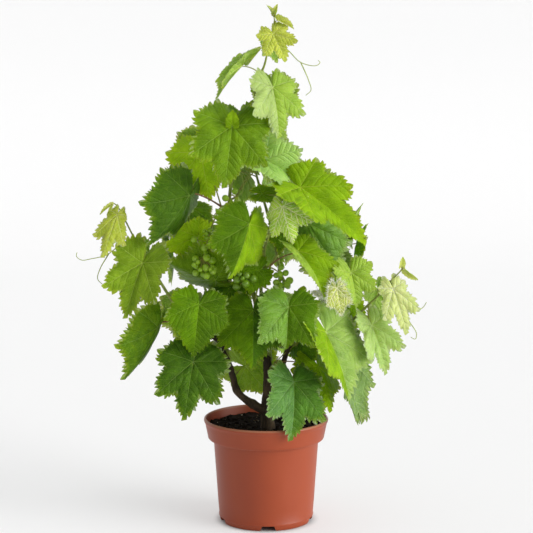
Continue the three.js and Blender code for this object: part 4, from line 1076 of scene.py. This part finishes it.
# A crumb is a pressed and jittered icosahedron: its edges are 2 long, its corners 1.9 from the middle, and
# its faces join the corners that are nearest together
golden = (1 + 5 ** 0.5) / 2
cornerReach = 1.9
crumbCorners = [np.roll((a, b * golden, 0), shift) for shift in (0, 1, 2) for b in (1, -1) for a in (-1, 1)]
crumbFaces = []
for trio in itertools.combinations(range(12), 3):
    a, b, c = (crumbCorners[i] for i in trio)
    if max(np.linalg.norm(p - q) for p, q in ((a, b), (b, c), (c, a))) < 2.1:
        crumbFaces.append(trio if np.dot(np.cross(b - a, c - a), a) > 0 else trio[::-1])


def crumb(x, y, size, slot):
    turn = chance.uniform(0, math.pi)
    long = chance.uniform(0.8, 1.7)
    middle = np.array([x, y, soilHeight(x, y) + size * 0.25])
    points = []
    for a, b, c in crumbCorners:
        a, c = a * long, c * soilLook["squash"]
        jitter = chance.uniform(0.75, 1.2) * size / cornerReach
        turned = (a * math.cos(turn) - b * math.sin(turn), a * math.sin(turn) + b * math.cos(turn), c)
        points.append(middle + np.array(turned) * jitter)
    return points, crumbFaces, slot, None


def fibre(x, y, heading, reach):
    route = []
    for u in (0, 0.33, 0.66, 1):
        dx, dy = polar(u * reach, heading + 0.5 * u)
        straightX, straightY = polar(u * reach, heading)
        route.append((x + dx, y + dy, soilHeight(x + straightX, y + straightY) + 0.9))
    return tube(route, lambda f: 0.32, 5, 2)


def crumbMaterial(name, dark, light, scale, roughness):
    material, tree, shader, place = newMaterial(name)
    clods = {"Vector": place, "Scale": scale, "Detail": 8.0, "Roughness": 0.7}
    lumps, colour = mottled(tree, clods, (0.38, 0.66), dark, light)
    relief = addNode(tree, "Bump", {"Strength": 1.0, "Distance": 0.0015, "Height": lumps})[0]
    feed(tree, shader, {"Base Color": colour, "Normal": relief, "Roughness": roughness,
                        "Specular IOR Level": 0.15})
    return material


chance = random.Random(soilLook["seed"])
soilParts = [soilBody()]
for k in range(soilLook["crumbs"] + soilLook["specks"]):
    pale = k >= soilLook["crumbs"]
    r = soilLook["crumbReach"] * chance.random() ** 0.55
    x, y = polar(r, chance.uniform(0, 2 * math.pi))
    soilParts.append(crumb(x, y, chance.uniform(*soilLook["speckSize" if pale else "crumbSize"]), int(pale)))
for _ in range(soilLook["fibres"]):
    r = soilLook["fibreReach"] * chance.random() ** 0.5
    x, y = polar(r, chance.uniform(0, 6.28))
    soilParts.append(fibre(x, y, chance.uniform(0, 6.28), chance.uniform(*soilLook["fibreLength"])))
compost = joinedPiece("pottingCompost", soilParts, [
    crumbMaterial("moistPeatCompost", "090604", "281b11", 320.0, 0.95),
    crumbMaterial("perliteSpeck", "8a7f70", "c9c0b0", 500.0, 0.8),
    crumbMaterial("dryRootFibre", "5a4630", "8d7350", 500.0, 0.8)])
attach(compost, "root")
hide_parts("soil")

# Floor, backdrop and lights; places in metres
stageLook = {"paper": "b9b9b9", "backLight": 0.41, "unlit": (0.066, 0.088), "sky": 0.48, "room": 0.95,
             "near": -4.0, "back": 3.3, "curve": 0.9, "half": 4, "top": 6.5, "key": 3.4, "rear": 0.95}
back, curve, half = stageLook["back"], stageLook["curve"], stageLook["half"]
bend = [math.radians(a) for a in range(0, 100, 10)]
depths = [(back + curve * math.sin(a), curve - curve * math.cos(a)) for a in bend]
depths = [(stageLook["near"], 0.0), *depths, (back + curve, stageLook["top"])]
sheet = bpy.data.meshes.new("paperSweep")
sheet.from_pydata([(x, y, z) for y, z in depths for x in (-half, half)], [],
                  [[2 * i, 2 * i + 1, 2 * i + 3, 2 * i + 2] for i in range(len(depths) - 1)])
sweep = newPiece("paperSweep", sheet)
for p in sheet.polygons:
    p.use_smooth = True
# matt paper that glows as well, a painted light that keeps the shadow on it faint; the glow fades out right
# under the pot, a painted contact shadow
paper, tree, shader, place = newMaterial("whiteBackgroundPaper")
fromPot = addNode(tree, "VectorMath", [place], operation="LENGTH")["Value"]
# painted light: the paper's glow, left out under the pot as a painted shadow
backLight = addNode(tree, "MapRange", [fromPot, *stageLook["unlit"], 0.0, stageLook["backLight"]],
                    interpolation_type="SMOOTHSTEP")[0]
feed(tree, shader, {"Base Color": stageLook["paper"], "Roughness": 0.9, "Specular IOR Level": 0.1,
                    "Emission Color": (1, 1, 1, 1), "Emission Strength": backLight})
sweep.data.materials.append(paper)

world = bpy.data.worlds.new("studio")
bpy.context.scene.world = world
world.use_nodes = True
tree = world.node_tree
dome = tree.nodes["Background"]
feed(tree, dome, [(1, 1, 1, 1), stageLook["sky"]])
# the room beyond the paper looks as white as the paper does
seen = addNode(tree, "Background", [(1, 1, 1, 1), stageLook["room"]])[0]
fromCamera = addNode(tree, "LightPath")["Is Camera Ray"]
room = addNode(tree, "MixShader", [fromCamera, dome.outputs[0], seen])[0]
feed(tree, tree.nodes["World Output"], [room])


# broad, distant lights: each lights the whole floor evenly, as big diffusers far off do
def broadLight(name, towards, spreadAngle, power):
    light = bpy.data.lights.new(name, "SUN")
    light.energy = power
    light.angle = math.radians(spreadAngle)
    lamp = newPiece(name, light)
    lamp.rotation_mode = "QUATERNION"
    lamp.rotation_quaternion = Vector(towards).to_track_quat("-Z", "Y")


broadLight("keyLight", (-0.88, 0.42, -0.27), 46, stageLook["key"])
broadLight("rearLight", (-0.1, -0.35, -1.0), 100, stageLook["rear"])
bpy.context.scene.view_settings.view_transform = "Standard"
bpy.context.scene.view_settings.exposure = 0.0
